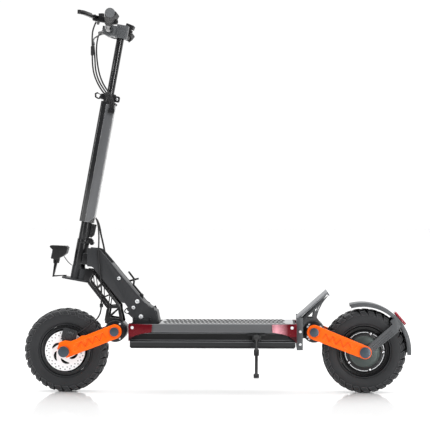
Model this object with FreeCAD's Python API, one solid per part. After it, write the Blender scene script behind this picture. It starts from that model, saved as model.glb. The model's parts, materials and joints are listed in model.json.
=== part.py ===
import FreeCAD, Part
import math
import os

from FreeCAD import Placement, Rotation, Vector

# Electric kick scooter, in millimetres. The front faces -X, the rider's left is -Y and +Z is up.
# The origin is on the ground, midway between the front of the front tyre and the back of the fender.

# Driving dimensions
TYRE_R = 137.5
TYRE_HALF = 40.0
HALF_LENGTH = 634.5
FRONT_AXLE_X = -HALF_LENGTH + TYRE_R
REAR_AXLE_X = 483.0
AXLE_Z = TYRE_R
PIVOT_Z = 202.5
FRONT_PIVOT_X = -332.0
REAR_PIVOT_X = 318.0
PIVOT_R = 36.0
PIVOT_HALF = 50.0
SHAFT_R = 14.0
AXLE_R = 6.0
ARM_INNER = 62.0
ARM_OUTER = 80.0
CAP_OUTER = 90.0
ROTOR_THICK = 2.5
FRONT_ROTOR_FACE = -48.3
REAR_ROTOR_FACE = -51.2
RUNNING = 0.05
GAP = 0.4

RAKE = 10.4
STEER_GROUND_X = -533.6
STEERER_R = 14.3
HEAD_R = 20.5
HEAD_LOW = 422.0
HEAD_TOP = 499.0
NECK_INNER = 46.0
NECK_OUTER = 54.0
TRUSS_INNER = 34.0
TRUSS_OUTER = 42.0
FOLD_U = 29.0
FOLD_S = 504.0
SOCKET_LOW = 511.5
TUBE_LOW = 569.0
TUBE_TOP = 972.0
COLLAR_TOP = 1000.0
POST_R = 12.5
POST_LOW = 770.0
HEAD_BLOCK_LOW = 1186.0
HEAD_BLOCK_TOP = 1230.0
BAR_U = -39.0
BAR_S = 1205.6
BAR_R = 11.0
BAR_HALF = 318.0

DECK_FRONT = -279.0
DECK_REAR = 257.0
DECK_HALF = 110.0
RECESS_HALF = 102.0
CAP_HALF = 113.5
DECK_LOW = 155.0
LID_LOW = 222.0
LID_TOP = 227.0
MAT_TOP = 232.0

LATCH_PIVOT = (-249.0, 319.5)

STAND_X = 131.5
STAND_Y = -126.0
STAND_Z = 186.0
STAND_SPLAY = 30.0
STAND_LENGTH = 138.0

CABLE_R = 2.6
LOOM_R = 3.2
WIRE_R = 1.4

X_AXIS = Vector(1, 0, 0)
Y_AXIS = Vector(0, 1, 0)
Z_AXIS = Vector(0, 0, 1)
RAKED = Placement(Vector(STEER_GROUND_X, 0, 0), Rotation(Y_AXIS, RAKE))
STAND_FRAME = Placement(Vector(STAND_X, STAND_Y, STAND_Z), Rotation(X_AXIS, -STAND_SPLAY))

nodes = {}


# ---- shape helpers -------------------------------------------------------------------------

def rod(start, direction, radius, length):
    return Part.makeCylinder(radius, length, start, direction)


def ring(start, direction, outer, inner, length):
    return rod(start, direction, outer, length).cut(rod(start, direction, inner, length))


def across(x, z, radius, low, high):
    """A cylinder along Y."""
    return rod(Vector(x, low, z), Y_AXIS, radius, high - low)


def block(low, high):
    size = Vector(*high).sub(Vector(*low))
    return Part.makeBox(size.x, size.y, size.z, Vector(*low))


def slab(outline, low, high):
    """A flat outline of (x, z) points, thick from low to high along Y."""
    points = [Vector(x, low, z) for x, z in outline]
    face = Part.Face(Part.makePolygon(points + points[:1]))
    return face.extrude(Vector(0, high - low, 0))


def bar_between(a, b, radius):
    run = Vector(*b).sub(Vector(*a))
    return rod(Vector(*a), run, radius, run.Length)


def turned(profile, centre_x, centre_z):
    """A ring turned about Y from an outline of (radius, y) points."""
    points = [Vector(centre_x, y, centre_z + r) for r, y in profile]
    face = Part.Face(Part.makePolygon(points + points[:1]))
    return face.revolve(Vector(centre_x, 0, centre_z), Y_AXIS, 360)


def raked(shape):
    """Carries a shape from the steering axis frame (u, y, s) into the world."""
    shape.Placement = RAKED.multiply(shape.Placement)
    return shape


def at_rake(u, y, s):
    return tuple(RAKED.multVec(Vector(u, y, s)))


def mirrored(shape):
    return shape.mirror(Vector(0, 0, 0), Y_AXIS)


def both_sides(shape):
    return [shape, mirrored(shape)]


def fused(shapes):
    whole = shapes[0]
    for shape in shapes[1:]:
        whole = whole.fuse(shape)
    return whole.removeSplitter()


def edges_along(shape, direction):
    straight = []
    for edge in shape.Edges:
        run = edge.Vertexes[-1].Point.sub(edge.Vertexes[0].Point)
        if len(edge.Vertexes) == 2 and run.Length > 0.5:
            if abs(abs(run.normalize().dot(direction)) - 1) < 1e-6:
                straight.append(edge)
    return straight


def rounded(shape, radius, direction):
    return shape.makeFillet(radius, edges_along(shape, direction))


def tangent_route(points):
    """Straight runs joined by tangent arcs, each as large as its two runs allow."""
    corners = [Vector(*p) for p in points]
    edges, radii = [], []
    start = corners[0]
    for before, corner, after in zip(corners, corners[1:], corners[2:]):
        back, on = before.sub(corner), after.sub(corner)
        half_turn = (math.pi - back.getAngle(on)) / 2
        trim = 0.45 * min(back.Length, on.Length)
        radii.append(trim / math.tan(half_turn))
        back.normalize()
        on.normalize()
        inward = back.add(on).normalize()
        first = corner.add(Vector(back).multiply(trim))
        last = corner.add(Vector(on).multiply(trim))
        reach = radii[-1] / math.cos(half_turn) - radii[-1]
        middle = corner.add(Vector(inward).multiply(reach))
        edges.append(Part.LineSegment(start, first).toShape())
        edges.append(Part.Arc(first, middle, last).toShape())
        start = last
    edges.append(Part.LineSegment(start, corners[-1]).toShape())
    return Part.Wire(edges), radii


def tube_along(points, radius):
    path, radii = tangent_route(points)
    run = Vector(*points[1]).sub(Vector(*points[0]))
    section = Part.Wire([Part.makeCircle(radius, Vector(*points[0]), run)])
    return path.makePipeShell([section], True, False), path.Length, radii


def cord(name, points, radius):
    shape, length, radii = tube_along(points, radius)
    expected = math.pi * radius ** 2 * length
    print(name, "length", round(length, 1), "volume ratio", round(shape.Volume / expected, 4),
          "radii", [round(r, 1) for r in radii])
    nodes[name] = [shape]


# ---- deck ----------------------------------------------------------------------------------

def deck_shell():
    side = [(DECK_HALF, DECK_LOW), (DECK_HALF, 173), (RECESS_HALF, 178), (RECESS_HALF, 200),
            (DECK_HALF, 204), (DECK_HALF, MAT_TOP - 2)]
    outline = side + [(-y, z) for y, z in reversed(side)]
    points = [Vector(DECK_FRONT, y, z) for y, z in outline]
    face = Part.Face(Part.makePolygon(points + points[:1]))
    shell = face.extrude(Vector(DECK_REAR - DECK_FRONT, 0, 0))
    well = block((DECK_FRONT + 9, -94, DECK_LOW + 4), (DECK_REAR - 9, 94, LID_LOW))
    rebate = block((DECK_FRONT + 4, -104, LID_LOW), (DECK_REAR - 4, 104, MAT_TOP))
    return shell.cut(well).cut(rebate)


def lid():
    plate = block((DECK_FRONT + 4.5, -103.5, LID_LOW), (DECK_REAR - 4.5, 103.5, LID_TOP))
    return rounded(plate, 6, Z_AXIS)


def mat():
    """The rubber mat, with ladder slots along both edges and slanted slots down the middle."""
    sheet = block((-184, -100, LID_TOP), (DECK_REAR - 7, 100, MAT_TOP))
    slots = []
    pitch = 12.0
    count = int((DECK_REAR - 7 + 184 - 24) / pitch)
    for n in range(count):
        x = -172 + n * pitch
        for y in (-84, 84):
            slots.append(block((x, y - 12, MAT_TOP - 2.5), (x + 4, y + 12, MAT_TOP + 1)))
    return sheet.cut(slots)


def corner_cap(end, outline):
    """One cap: a shaped side plate with a short return across the end of the deck."""
    side = slab(outline, -CAP_HALF, -DECK_HALF)
    low = min(z for x, z in outline)
    inner = DECK_FRONT if end < 0 else DECK_REAR
    face = block((min(inner, inner + 4 * end), -CAP_HALF, low), (max(inner, inner + 4 * end), -62, 231))
    return side.fuse(face).removeSplitter()


def corner_caps():
    front = [(DECK_FRONT - 4, 231), (-206, 229), (-208, 204), (-240, 199), (-262, 193), (-275, 184),
             (DECK_FRONT - 4, 176)]
    rear = [(181, 229), (DECK_REAR + 4, 231), (DECK_REAR + 4, 171), (250, 181), (236, 192), (214, 199),
            (183, 204)]
    return both_sides(corner_cap(-1, front)) + both_sides(corner_cap(1, rear))


def deck_pieces():
    nodes["deck_body"] = [deck_shell()]
    base = block((DECK_FRONT + 3, -106, DECK_LOW - 3.5), (DECK_REAR - 3, 106, DECK_LOW))
    nodes["deck_covers"] = [lid(), base]
    nodes["grip_mat"] = [mat()]
    nodes["battery_pack"] = [block((-150, -88, 161), (240, 88, 218))]
    nodes["motor_controller"] = [block((-262, -60, 161), (-160, 60, 205))]
    nodes["corner_caps"] = corner_caps()


# ---- neck and head tube --------------------------------------------------------------------

def neck_outline():
    return [(-424, 475.4), (-392, 473), (-384, 470.4), (-378.4, 465.6), (-347.4, 429.7), (-314.7, 388.6),
            (-234.7, 296.2), (-226.6, 291.6), (-221.7, 284), (-216.1, 279), (-209.5, 280), (-206, 282),
            (-193.6, 248.8), (-189.7, LID_TOP), (-274.5, LID_TOP), (-275, 246.2), (-288.6, 258.3),
            (-300, 262), (-303, 268), (-300, 275), (-290.9, 281.2), (-301, 294.9), (-307.2, 294.9),
            (-314.7, 300.1), (-399.9, 404.2), (-404, 411), (-410.4, 413.7), (-423.7, 414.7)]


NECK_HOLES = [(-319.3, 375.8, 5.0), (-259.2, 300.1, 6.3), (-271.6, 280.2, 5.0), (-292.8, 268.1, 6.0),
              (-247.1, 250.5, 6.3)]
NECK_BOLTS = NECK_HOLES[:3] + NECK_HOLES[4:]


def neck_plate():
    plate = slab(neck_outline(), -NECK_OUTER, -NECK_INNER)
    for x, z, radius in NECK_HOLES:
        plate = plate.cut(across(x, z, radius, -NECK_OUTER - 1, -NECK_INNER + 1))
    return plate


def neck_cover():
    """The bent strip that closes the neck's upper edge between its plates."""
    top = [(-345, 425.5), (-314.7, 387.4), (-234.7, 295), (-196, 268), (-187, LID_TOP)]
    low = [(-192.5, LID_TOP), (-200, 264), (-237.5, 291), (-318, 384), (-348.2, 421.9)]
    return slab(top + low, -NECK_INNER, NECK_INNER)


def head_tube():
    tube = ring(Vector(0, 0, HEAD_LOW), Z_AXIS, HEAD_R, 17, HEAD_TOP - HEAD_LOW)
    gusset = block((12, -NECK_INNER, 432), (56, NECK_INNER, 468))
    bored = gusset.cut(rod(Vector(0, 0, 430), Z_AXIS, 17, 60))
    return raked(tube.fuse(bored).removeSplitter())


def headset():
    rings = []
    for s in (HEAD_LOW, HEAD_TOP - 12):
        rings.append(raked(ring(Vector(0, 0, s), Z_AXIS, 17, STEERER_R + RUNNING, 12)))
    return rings


def latch_ears():
    """Two small ears and a pin that carry the neck latch."""
    x, z = LATCH_PIVOT
    ear = slab([(x - 7, z - 1), (x + 5, z - 14.5), (x + 6, z), (x, z + 5), (x - 5, z + 4)], -7, -4)
    pin = across(x, z, 1.5, -8, 8)
    return [side.cut(pin) for side in both_sides(ear)] + [pin]


def neck_pieces():
    ears = [ear.cut(neck_cover()) for ear in latch_ears()]
    bulkhead = raked(block((56.2, -NECK_INNER, 447), (103, NECK_INNER, 450.5)))
    nodes["neck_plates"] = both_sides(neck_plate()) + [neck_cover(), bulkhead] + ears
    nodes["head_tube"] = [head_tube()] + headset()


def bolt_heads():
    """Round heads and short shanks that stand on the neck plates, corner caps and rear brackets."""
    heads = []
    for x, z, radius in NECK_BOLTS:
        head = across(x, z, radius + 1.5, -NECK_OUTER - 3, -NECK_OUTER)
        shank = across(x, z, radius, -NECK_OUTER, -NECK_INNER)
        heads += both_sides(head.fuse(shank).removeSplitter())
    for x, z in ((-270.5, 219), (246, 219)):
        heads += both_sides(across(x, z, 5, -CAP_HALF - 2.5, -CAP_HALF))
    for z in (206, 165):
        heads += both_sides(across(272.5, z, 4.5, -102.5, -100))
    return heads


# ---- rear frame ----------------------------------------------------------------------------

def rear_bracket():
    """The grey end bracket with its flanges, and the webs that carry the footrest and the pivot."""
    end = block((DECK_REAR + 4 + GAP, -60, 146), (DECK_REAR + 10, 60, 248))
    wing = block((DECK_REAR + 4 + GAP, -100, 146), (DECK_REAR + 24, -94, 251))
    tie = block((DECK_REAR + 4 + GAP, -94, 146), (DECK_REAR + 10, -60, 248))
    spine = block((DECK_REAR + 10, -42, 180), (REAR_PIVOT_X - 10, 42, 226))
    web = slab([(270, 236), (351, 310), (366, 322), (346, 296), (334, 272), (327.5, 250), (332, 240),
                (343, 226), (320, 205), (285, 205)], -48, -40)
    hole_a = slab([(292, 246), (318, 270), (314, 246)], -49, -39)
    hole_b = slab([(322, 274), (338, 288), (326, 262)], -49, -39)
    webs = both_sides(web.cut(hole_a).cut(hole_b))
    frame = fused([end, spine] + both_sides(wing) + both_sides(tie) + webs)
    return frame.cut(across(REAR_PIVOT_X, PIVOT_Z, PIVOT_R, -60, 60))


def footrest():
    plate = slab([(262, 247.5), (361, 334.4), (369, 322), (364.5, 322.5), (358, 326), (268, 246.5)],
                 -85, 85)
    return plate.cut(block((240, -86, 240), (DECK_REAR + 10.4, 86, 248.2)))


def pivot_housing(x):
    """A barrel with two bolted end covers, bored for the swing arm's shaft."""
    barrel = across(x, PIVOT_Z, PIVOT_R, -PIVOT_HALF, PIVOT_HALF)
    covers = both_sides(across(x, PIVOT_Z, PIVOT_R - 1.5, -PIVOT_HALF - 5, -PIVOT_HALF))
    whole = fused([barrel] + covers)
    whole = whole.cut(across(x, PIVOT_Z, SHAFT_R + RUNNING, -60, 60))
    heads = []
    for angle in (38, 142, 218, 322):
        bolt_x = x + 26 * math.cos(math.radians(angle))
        bolt_z = PIVOT_Z + 26 * math.sin(math.radians(angle))
        heads += both_sides(across(bolt_x, bolt_z, 4, -PIVOT_HALF - 7, -PIVOT_HALF - 5))
    return whole, heads


def rear_frame_pieces():
    housing, heads = pivot_housing(REAR_PIVOT_X)
    nodes["rear_brackets"] = [rear_bracket()]
    nodes["footrest"] = [footrest()]
    nodes["rear_pivot_housing"] = [housing]
    nodes["frame_bolts"] = bolt_heads() + heads


# ---- fork ----------------------------------------------------------------------------------

def triangle_window(corners, low, high):
    """A triangular opening, drawn in from its corners so that webs stay between neighbours."""
    cx = sum(c[0] for c in corners) / 3
    cz = sum(c[1] for c in corners) / 3
    inset = [(cx + 0.83 * (x - cx), cz + 0.83 * (z - cz)) for x, z in corners]
    return slab(inset, low, high)


def truss_leg():
    outline = [(29, 418.5), (44.8, 419.8), (57.2, 417.1), (161.9, 321.3), (166, 306), (181, 272),
               (176, 250), (150, 250), (122.4, 255.2), (120.5, 289.7), (121.5, 302.5), (98, 324),
               (38.7, 376.5), (29, 378)]
    plate = slab(outline, -TRUSS_OUTER, -TRUSS_INNER)
    front = [(44, 381), (71, 357), (98, 333), (124, 310)]
    rear = [(54, 411), (88, 380), (122, 349), (155, 318)]
    for n in range(3):
        for corners in ((front[n], front[n + 1], rear[n]), (rear[n], rear[n + 1], front[n + 1])):
            plate = plate.cut(triangle_window(corners, -TRUSS_OUTER - 1, -TRUSS_INNER + 1))
    for corners in (((127, 306), (158, 312), (128, 276)), ((158, 310), (170, 276), (132, 275))):
        plate = plate.cut(triangle_window(corners, -TRUSS_OUTER - 1, -TRUSS_INNER + 1))
    plate = raked(plate.cut(block((-45, -44, 370), (43.1, 44, 379.5))))
    return plate.cut(across(FRONT_PIVOT_X, PIVOT_Z, PIVOT_R, -60, 60))


def truss_legs():
    cross = raked(block((119, -TRUSS_INNER, 262), (125, TRUSS_INNER, 300)))
    return both_sides(truss_leg()) + [cross.cut(across(FRONT_PIVOT_X, PIVOT_Z, PIVOT_R, -60, 60))]


def fork_crown():
    plate = block((-45, -44, 374), (43, 44, 379.5))
    plate = rounded(plate, 16, Z_AXIS)
    collar = rod(Vector(0, 0, 379), Z_AXIS, 21.5, HEAD_LOW - GAP - 379)
    rear = block((10, -TRUSS_INNER, 379), (42, TRUSS_INNER, 416))
    whole = fused([plate, collar, rear])
    return raked(whole.cut(rod(Vector(0, 0, 384), Z_AXIS, STEERER_R, 60)))


def steerer():
    return raked(rod(Vector(0, 0, 384), Z_AXIS, STEERER_R, SOCKET_LOW - 1 - 384))


def hinge_base():
    """The fixed half of the folding joint, clamped on the steerer."""
    base = ring(Vector(0, 0, HEAD_TOP + GAP), Z_AXIS, HEAD_R, STEERER_R, SOCKET_LOW - HEAD_TOP - 2 * GAP)
    lug = across(FOLD_U, FOLD_S, 7, -14, -8)
    arm = block((12, -14, HEAD_TOP + GAP + 1), (FOLD_U, -8, SOCKET_LOW - GAP - 1))
    whole = fused([base] + both_sides(lug.fuse(arm))).cut(rod(Vector(0, 0, HEAD_TOP), Z_AXIS, STEERER_R, 20))
    pin = across(FOLD_U, FOLD_S, 3, -17, 17)
    return [raked(whole.cut(across(FOLD_U, FOLD_S, 3, -30, 30))), raked(pin)]


LAMP_PIVOT = (-533.0, 431.0)


def headlight_bracket():
    """A stay from the crown's tip up to the lamp's tilt bolt."""
    foot = slab([(-545, 378.5), (-509.6, 382), (-499, 380.2), (-499, 385), (-541, 383.5)], -8, 8)
    post = slab([(-545, 378.5), (-541, 378.8), (-529.5, 424), (-533, 436), (-537.5, 436)], -8, 8)
    return fused([foot, post])


def fork_pieces():
    housing, heads = pivot_housing(FRONT_PIVOT_X)
    nodes["steerer_tube"] = [steerer()] + hinge_base()
    nodes["fork_crown"] = [fork_crown()]
    nodes["truss_legs"] = truss_legs() + [hose_clip()]
    nodes["front_pivot_housing"] = [housing] + heads
    nodes["headlight_bracket"] = [headlight_bracket()]


def headlight():
    hood = slab([(-557, 483.5), (-497, 481), (-492, 475), (-497, 456), (-510, 446), (-528, 438.5),
                 (-548, 438.5), (-541, 468)], -28, 28)
    hood = rounded(hood, 4, Y_AXIS)
    lens = slab([(-548.4, 443), (-546.8, 443), (-539.4, 467), (-543.2, 469)], -23, 23)
    ears = both_sides(slab([(-541, 424), (-525, 424), (-522, 440), (-541, 440)], -13, -8.4))
    bolt = across(*LAMP_PIVOT, 3, -15, 15)
    body = fused([hood] + ears).cut(bolt)
    return body.cut(lens), lens


def headlight_pieces():
    body, lens = headlight()
    nodes["headlight_housing"] = [body]
    nodes["headlight_lens"] = [lens]


# ---- swing arms ----------------------------------------------------------------------------

def strut_outline(ax, az, ar, bx, bz, br):
    """The straight-sided body of an arm between two round ends."""
    run = math.atan2(bz - az, bx - ax)
    up = run + math.pi / 2
    dx, dz = math.cos(up), math.sin(up)
    return [(ax + ar * dx, az + ar * dz), (bx + br * dx, bz + br * dz),
            (bx - br * dx, bz - br * dz), (ax - ar * dx, az - ar * dz)]


def swing_arm(axle_x, pivot_x, end_radius, half_depth, crest):
    """An arm with a round end under the axle cap and a wider round end at the pivot."""
    low, high = -ARM_OUTER, -ARM_INNER
    ends = [across(axle_x, AXLE_Z, end_radius, low, high), across(pivot_x, PIVOT_Z, 23.5, low, high)]
    body = slab(strut_outline(axle_x, AXLE_Z, half_depth, pivot_x, PIVOT_Z, 23.5), low, high)
    shapes = ends + [body]
    if crest:
        shapes.append(slab(crest, low, high))
    arm = fused(shapes)
    arm = arm.cut(across(axle_x, AXLE_Z, AXLE_R, low - 1, high + 1))
    arm = arm.cut(across(pivot_x, PIVOT_Z, SHAFT_R, low - 1, high + 1))
    return relieved(arm, axle_x, pivot_x)


def relieved(arm, axle_x, pivot_x):
    """Cuts the shallow zig-zag pattern into the arm's outer face."""
    bays = 3
    across_x, across_z = axle_x - pivot_x, AXLE_Z - PIVOT_Z
    length = math.hypot(across_x, across_z)
    ux, uz = across_x / length, across_z / length
    for n in range(bays):
        start = 36 + n * (length - 72) / bays
        pitch = (length - 72) / bays
        shapes = (((start, -12), (start + pitch * 0.8, -12), (start + pitch * 0.4, 10)),
                  ((start + pitch * 0.52, 12), (start + pitch * 1.24, 12), (start + pitch * 0.9, -9)))
        for corners in shapes:
            points = [(pivot_x + ux * a - uz * b, PIVOT_Z + uz * a + ux * b) for a, b in corners]
            arm = arm.cut(slab(points, -ARM_OUTER - 1, -ARM_OUTER + 1.2))
    return arm


def arm_shafts(axle_x, pivot_x):
    """The pivot shaft and the wheel axle, each with a cap at both ends."""
    shaft = across(pivot_x, PIVOT_Z, SHAFT_R, -ARM_OUTER, ARM_OUTER)
    axle = across(axle_x, AXLE_Z, AXLE_R, -ARM_OUTER, ARM_OUTER)
    pivot_caps = both_sides(across(pivot_x, PIVOT_Z, 14.5, -ARM_OUTER - 6, -ARM_OUTER))
    axle_caps = both_sides(across(axle_x, AXLE_Z, 17.8, -CAP_OUTER, -ARM_OUTER))
    return [fused([shaft] + pivot_caps), fused([axle] + axle_caps)]


def caliper(axle_x, side, angle, high, rotor_face):
    """A brake caliper: a block slotted for the rotor, on a bracket bolted inside the arm."""
    low = -61.5
    body = block((-24, low, 38), (24, high, 74))
    body = rounded(body, 7, Y_AXIS)
    slot = block((-40, rotor_face - ROTOR_THICK - 1.3, 20), (40, rotor_face + 1.3, 70))
    bracket = slab([(-10, 8), (10, 8), (20, 40), (-20, 40)], -ARM_INNER, -57)
    whole = fused([body.cut(slot), bracket]).cut(across(0, 0, 22.2, -70, -30))
    piston = across(0, 56, 11, -ARM_INNER - 3.5, low)
    whole = fused([whole, piston]) if side < 0 else whole
    whole.Placement = Placement(Vector(axle_x, 0, AXLE_Z), Rotation(Y_AXIS, angle))
    return whole if side < 0 else mirrored(whole)


def arm_pieces():
    crest = [(-519, 145), (-512, 167.7), (-494, 173.6), (-470, 170), (-455.8, 177.1), (-439.3, 189.1),
             (-420, 190), (-400, 197), (-400, 175), (-490, 140)]
    nodes["front_arms"] = both_sides(swing_arm(FRONT_AXLE_X, FRONT_PIVOT_X, 17.5, 22.5, crest))
    nodes["rear_arms"] = both_sides(swing_arm(REAR_AXLE_X, REAR_PIVOT_X, 21, 21, None))
    nodes["front_shafts"] = arm_shafts(FRONT_AXLE_X, FRONT_PIVOT_X)
    nodes["rear_shafts"] = arm_shafts(REAR_AXLE_X, REAR_PIVOT_X)
    nodes["front_caliper"] = [caliper(FRONT_AXLE_X, -1, 16, -42.0, FRONT_ROTOR_FACE)]
    nodes["rear_caliper"] = [caliper(REAR_AXLE_X, 1, -18, -47.4, REAR_ROTOR_FACE)]


# ---- wheels --------------------------------------------------------------------------------

def tyre(axle_x):
    half = [(82, 26), (86, 34), (97, 39), (108, TYRE_HALF), (120, 38.5), (130, 33), (135.5, 25),
            (TYRE_R, 17)]
    inside = [(82, 19), (89, 27), (100, 32), (112, 32), (124, 27), (129, 14)]
    outer = half + [(r, -y) for r, y in reversed(half)]
    inner = [(r, -y) for r, y in inside] + [(r, y) for r, y in reversed(inside)]
    return turned(outer + inner, axle_x, AXLE_Z)


def rim(axle_x, hub_half):
    """A drop-centre rim on a webbed hub."""
    channel = turned([(81.5, 18.8), (81.5, 30), (72, 32), (67, 27), (67, -27), (72, -32), (81.5, -30),
                      (81.5, -18.8), (75, -16), (75, 16)], axle_x, AXLE_Z)
    hub = across(axle_x, AXLE_Z, 24, -hub_half, hub_half)
    web = across(axle_x, AXLE_Z, 70, -7, 7)
    for n in range(6):
        angle = math.radians(60 * n)
        web = web.cut(across(axle_x + 46 * math.cos(angle), AXLE_Z + 46 * math.sin(angle), 15, -20, 20))
    whole = fused([channel, web, hub])
    return whole.cut(across(axle_x, AXLE_Z, AXLE_R + RUNNING, -80, 80))


def rotor(axle_x, side, face):
    """A drilled brake disc with round windows in its carrier."""
    disc = across(0, 0, 66, face - ROTOR_THICK, face)
    for n in range(6):
        angle = math.radians(60 * n)
        window = across(39 * math.cos(angle), 39 * math.sin(angle), 9.5, -60, -40)
        disc = disc.cut(window)
    for n in range(24):
        angle = math.radians(15 * n)
        radius = 54 if n % 2 else 60.5
        disc = disc.cut(across(radius * math.cos(angle), radius * math.sin(angle), 2.2, -60, -40))
    disc = disc.cut(across(0, 0, 12, -60, -40))
    disc.translate(Vector(axle_x, 0, AXLE_Z))
    return disc if side < 0 else mirrored(disc)


def hub_motor():
    """The motor drum is the wheel's centre: a rim channel with domed covers on both sides."""
    channel = turned([(81.5, 18.8), (81.5, 30), (74, 33), (66, 38), (52, 41), (51, 46), (20, 48), (20, -48),
                      (51, -46), (52, -41), (66, -38), (74, -33), (81.5, -30), (81.5, -18.8), (75, -16),
                      (75, 16)], REAR_AXLE_X, AXLE_Z)
    core = across(REAR_AXLE_X, AXLE_Z, 21, -47.8, 47.8)
    whole = fused([channel, core]).cut(across(REAR_AXLE_X, AXLE_Z, AXLE_R + RUNNING, -80, 80))
    bolts = []
    for n in range(5):
        angle = math.radians(71 - 70 * n)
        bolt_x, bolt_z = REAR_AXLE_X + 61 * math.cos(angle), AXLE_Z + 61 * math.sin(angle)
        bolts.append(across(bolt_x, bolt_z, 4.5, -44, -30))
    return fused([whole] + bolts)


def wheel_pieces():
    nodes["front_tyre"] = [tyre(FRONT_AXLE_X)]
    nodes["front_rim"] = [rim(FRONT_AXLE_X, 48.2)]
    nodes["front_rotor"] = [rotor(FRONT_AXLE_X, -1, FRONT_ROTOR_FACE)]
    nodes["rear_tyre"] = [tyre(REAR_AXLE_X)]
    nodes["hub_motor"] = [hub_motor()]
    nodes["rear_rotor"] = [rotor(REAR_AXLE_X, 1, REAR_ROTOR_FACE)]


# ---- fender and tail light -----------------------------------------------------------------

FENDER_X, FENDER_Z = 478.0, 140.0
FENDER_R = 156.5


def arc_sheet(outer, inner, half, start, end):
    """A curved sheet about the fender's centre, from one angle to another."""
    disc = ring(Vector(0, -half, 0), Y_AXIS, outer, inner, 2 * half)
    wedge = [(0, 0)] + [(400 * math.cos(a), 400 * math.sin(a))
                        for a in [math.radians(start + (end - start) * n / 4) for n in range(5)]]
    sheet = disc.common(slab(wedge, -half - 1, half + 1))
    sheet.translate(Vector(FENDER_X, 0, FENDER_Z))
    return sheet


def fender():
    top = arc_sheet(FENDER_R, FENDER_R - 3.5, 47, -5, 105.5)
    lip = arc_sheet(FENDER_R, FENDER_R - 13, 47, -5, 105.5)
    return fused([top, lip.cut(arc_sheet(FENDER_R, FENDER_R - 13, 44.5, -5, 105.5))])


def fender_stay():
    """A grooved strap from the axle to the fender."""
    strap = slab([(491.9, 157.1), (575.8, 230.2), (594.7, 205.7), (510.8, 138.2)], -60, -55)
    boss = across(REAR_AXLE_X, AXLE_Z, 20, -ARM_INNER, -55)
    foot = slab([(483, 157), (492, 157.1), (510.8, 138.2), (498, 122)], -60, -55)
    tab = slab([(565, 238), (582, 250), (603, 221), (588, 208)], -60, -47)
    whole = fused([strap, boss, foot, tab]).cut(across(REAR_AXLE_X, AXLE_Z, AXLE_R, -80, 0))
    for n in range(3):
        offset = -7 + 7 * n
        x, z = 510 + offset * 0.65, 150 - offset * 0.76
        whole = whole.cut(bar_between((x, -60.6, z), (x + 62, -60.6, z + 53), 1.8))
    return whole


def tail_light():
    body = block((-26, -27, FENDER_R + 0.2), (26, 27, FENDER_R + 9))
    body = rounded(body, 3.5, X_AXIS)
    body.Placement = Placement(Vector(FENDER_X, 0, FENDER_Z), Rotation(Y_AXIS, 90 - 40.5))
    return body.cut(across(FENDER_X, FENDER_Z, FENDER_R, -60, 60))


def fender_pieces():
    nodes["fender"] = [fender()] + both_sides(fender_stay())
    nodes["tail_light"] = [tail_light()]


# ---- stem ----------------------------------------------------------------------------------

def stem_socket():
    sleeve = rod(Vector(0, 0, SOCKET_LOW), Z_AXIS, 18, TUBE_LOW - SOCKET_LOW)
    knuckle = across(FOLD_U, FOLD_S, 7, -7.6, 7.6)
    arm = slab([(14, SOCKET_LOW), (21, SOCKET_LOW), (24, SOCKET_LOW - 3), (FOLD_U + 4, SOCKET_LOW - 3),
                (FOLD_U + 4, SOCKET_LOW + 1), (14, 530)], -7.6, 7.6)
    bored = fused([sleeve, knuckle, arm]).cut(across(FOLD_U, FOLD_S, 3 + RUNNING, -20, 20))
    mouth = rod(Vector(0, 0, SOCKET_LOW - 10), Z_AXIS, STEERER_R, 8)
    channel = block((12, -9.6, 519), (40, 9.6, 567))
    return raked(bored.cut(mouth).cut(channel))


def cable_gland():
    """The boot on the tube's left face that takes the cables from the handlebar."""
    boot = block((5, -31, 934), (27, -22.5, 953))
    return raked(rounded(boot, 4, Y_AXIS))


def hose_clip():
    """The clip on the left fork leg where the brake hose changes from the leg to the swing arm."""
    clip = block((-382, -59.5, 280.7), (-372, -TRUSS_OUTER, 292.9))
    return clip.cut(truss_leg())


def stem_tube():
    tube = block((-24.3, -22.5, TUBE_LOW), (24.3, 22.5, TUBE_TOP))
    tube = rounded(tube, 9, Z_AXIS)
    return raked(tube.cut(rod(Vector(0, 0, TUBE_LOW + 8), Z_AXIS, 13.6, TUBE_TOP - TUBE_LOW)))


def collar():
    band = ring(Vector(0, 0, TUBE_TOP), Z_AXIS, 20, POST_R + RUNNING, COLLAR_TOP - TUBE_TOP)
    rear = rounded(block((15, -7, 976), (34, 7, 996)), 5, Y_AXIS)
    front = block((-28, -14, 978), (-14, 14, 996))
    whole = fused([band, rear, front]).cut(rod(Vector(0, 0, 970), Z_AXIS, POST_R + RUNNING, 40))
    whole = whole.cut(block((-34, -6.4, 970), (-17.4, 6.4, 1001)))
    pin = across(-23.5, 988, 2.5, -14, 14)
    return raked(whole.cut(across(-23.5, 988, 2.5, -20, 20))), raked(pin)


def collar_lever():
    """A looped quick-release lever."""
    loop = slab([(-23.5, 993), (-34, 994.5), (-43, 998.5), (-51, 993), (-48, 980), (-38, 976),
                 (-32, 977.5), (-23.5, 983.5)], -6, 6)
    loop = loop.fuse(across(-23.5, 988, 5, -6, 6))
    hole = slab([(-31.5, 991), (-41.5, 994), (-46, 991.5), (-44, 983.5), (-35, 980)], -10, 10)
    return raked(loop.cut(hole).cut(across(-23.5, 988, 2.5 + RUNNING, -20, 20)))


def fold_lever():
    grip = slab([(15, 523), (24, 521), (31.5, 530), (33, 566), (17, 566)], -8.6, 8.6)
    foot = across(19.5, 527, 6, -8.6, 8.6)
    return raked(grip.fuse(foot).removeSplitter())


def stem_pieces():
    band, pin = collar()
    nodes["stem_socket"] = [stem_socket()]
    nodes["stem_tube"] = [stem_tube(), cable_gland()]
    nodes["qr_collar"] = [band, pin]
    nodes["collar_lever"] = [collar_lever()]
    nodes["fold_lever"] = [fold_lever()]


# ---- neck latch ----------------------------------------------------------------------------

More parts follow.
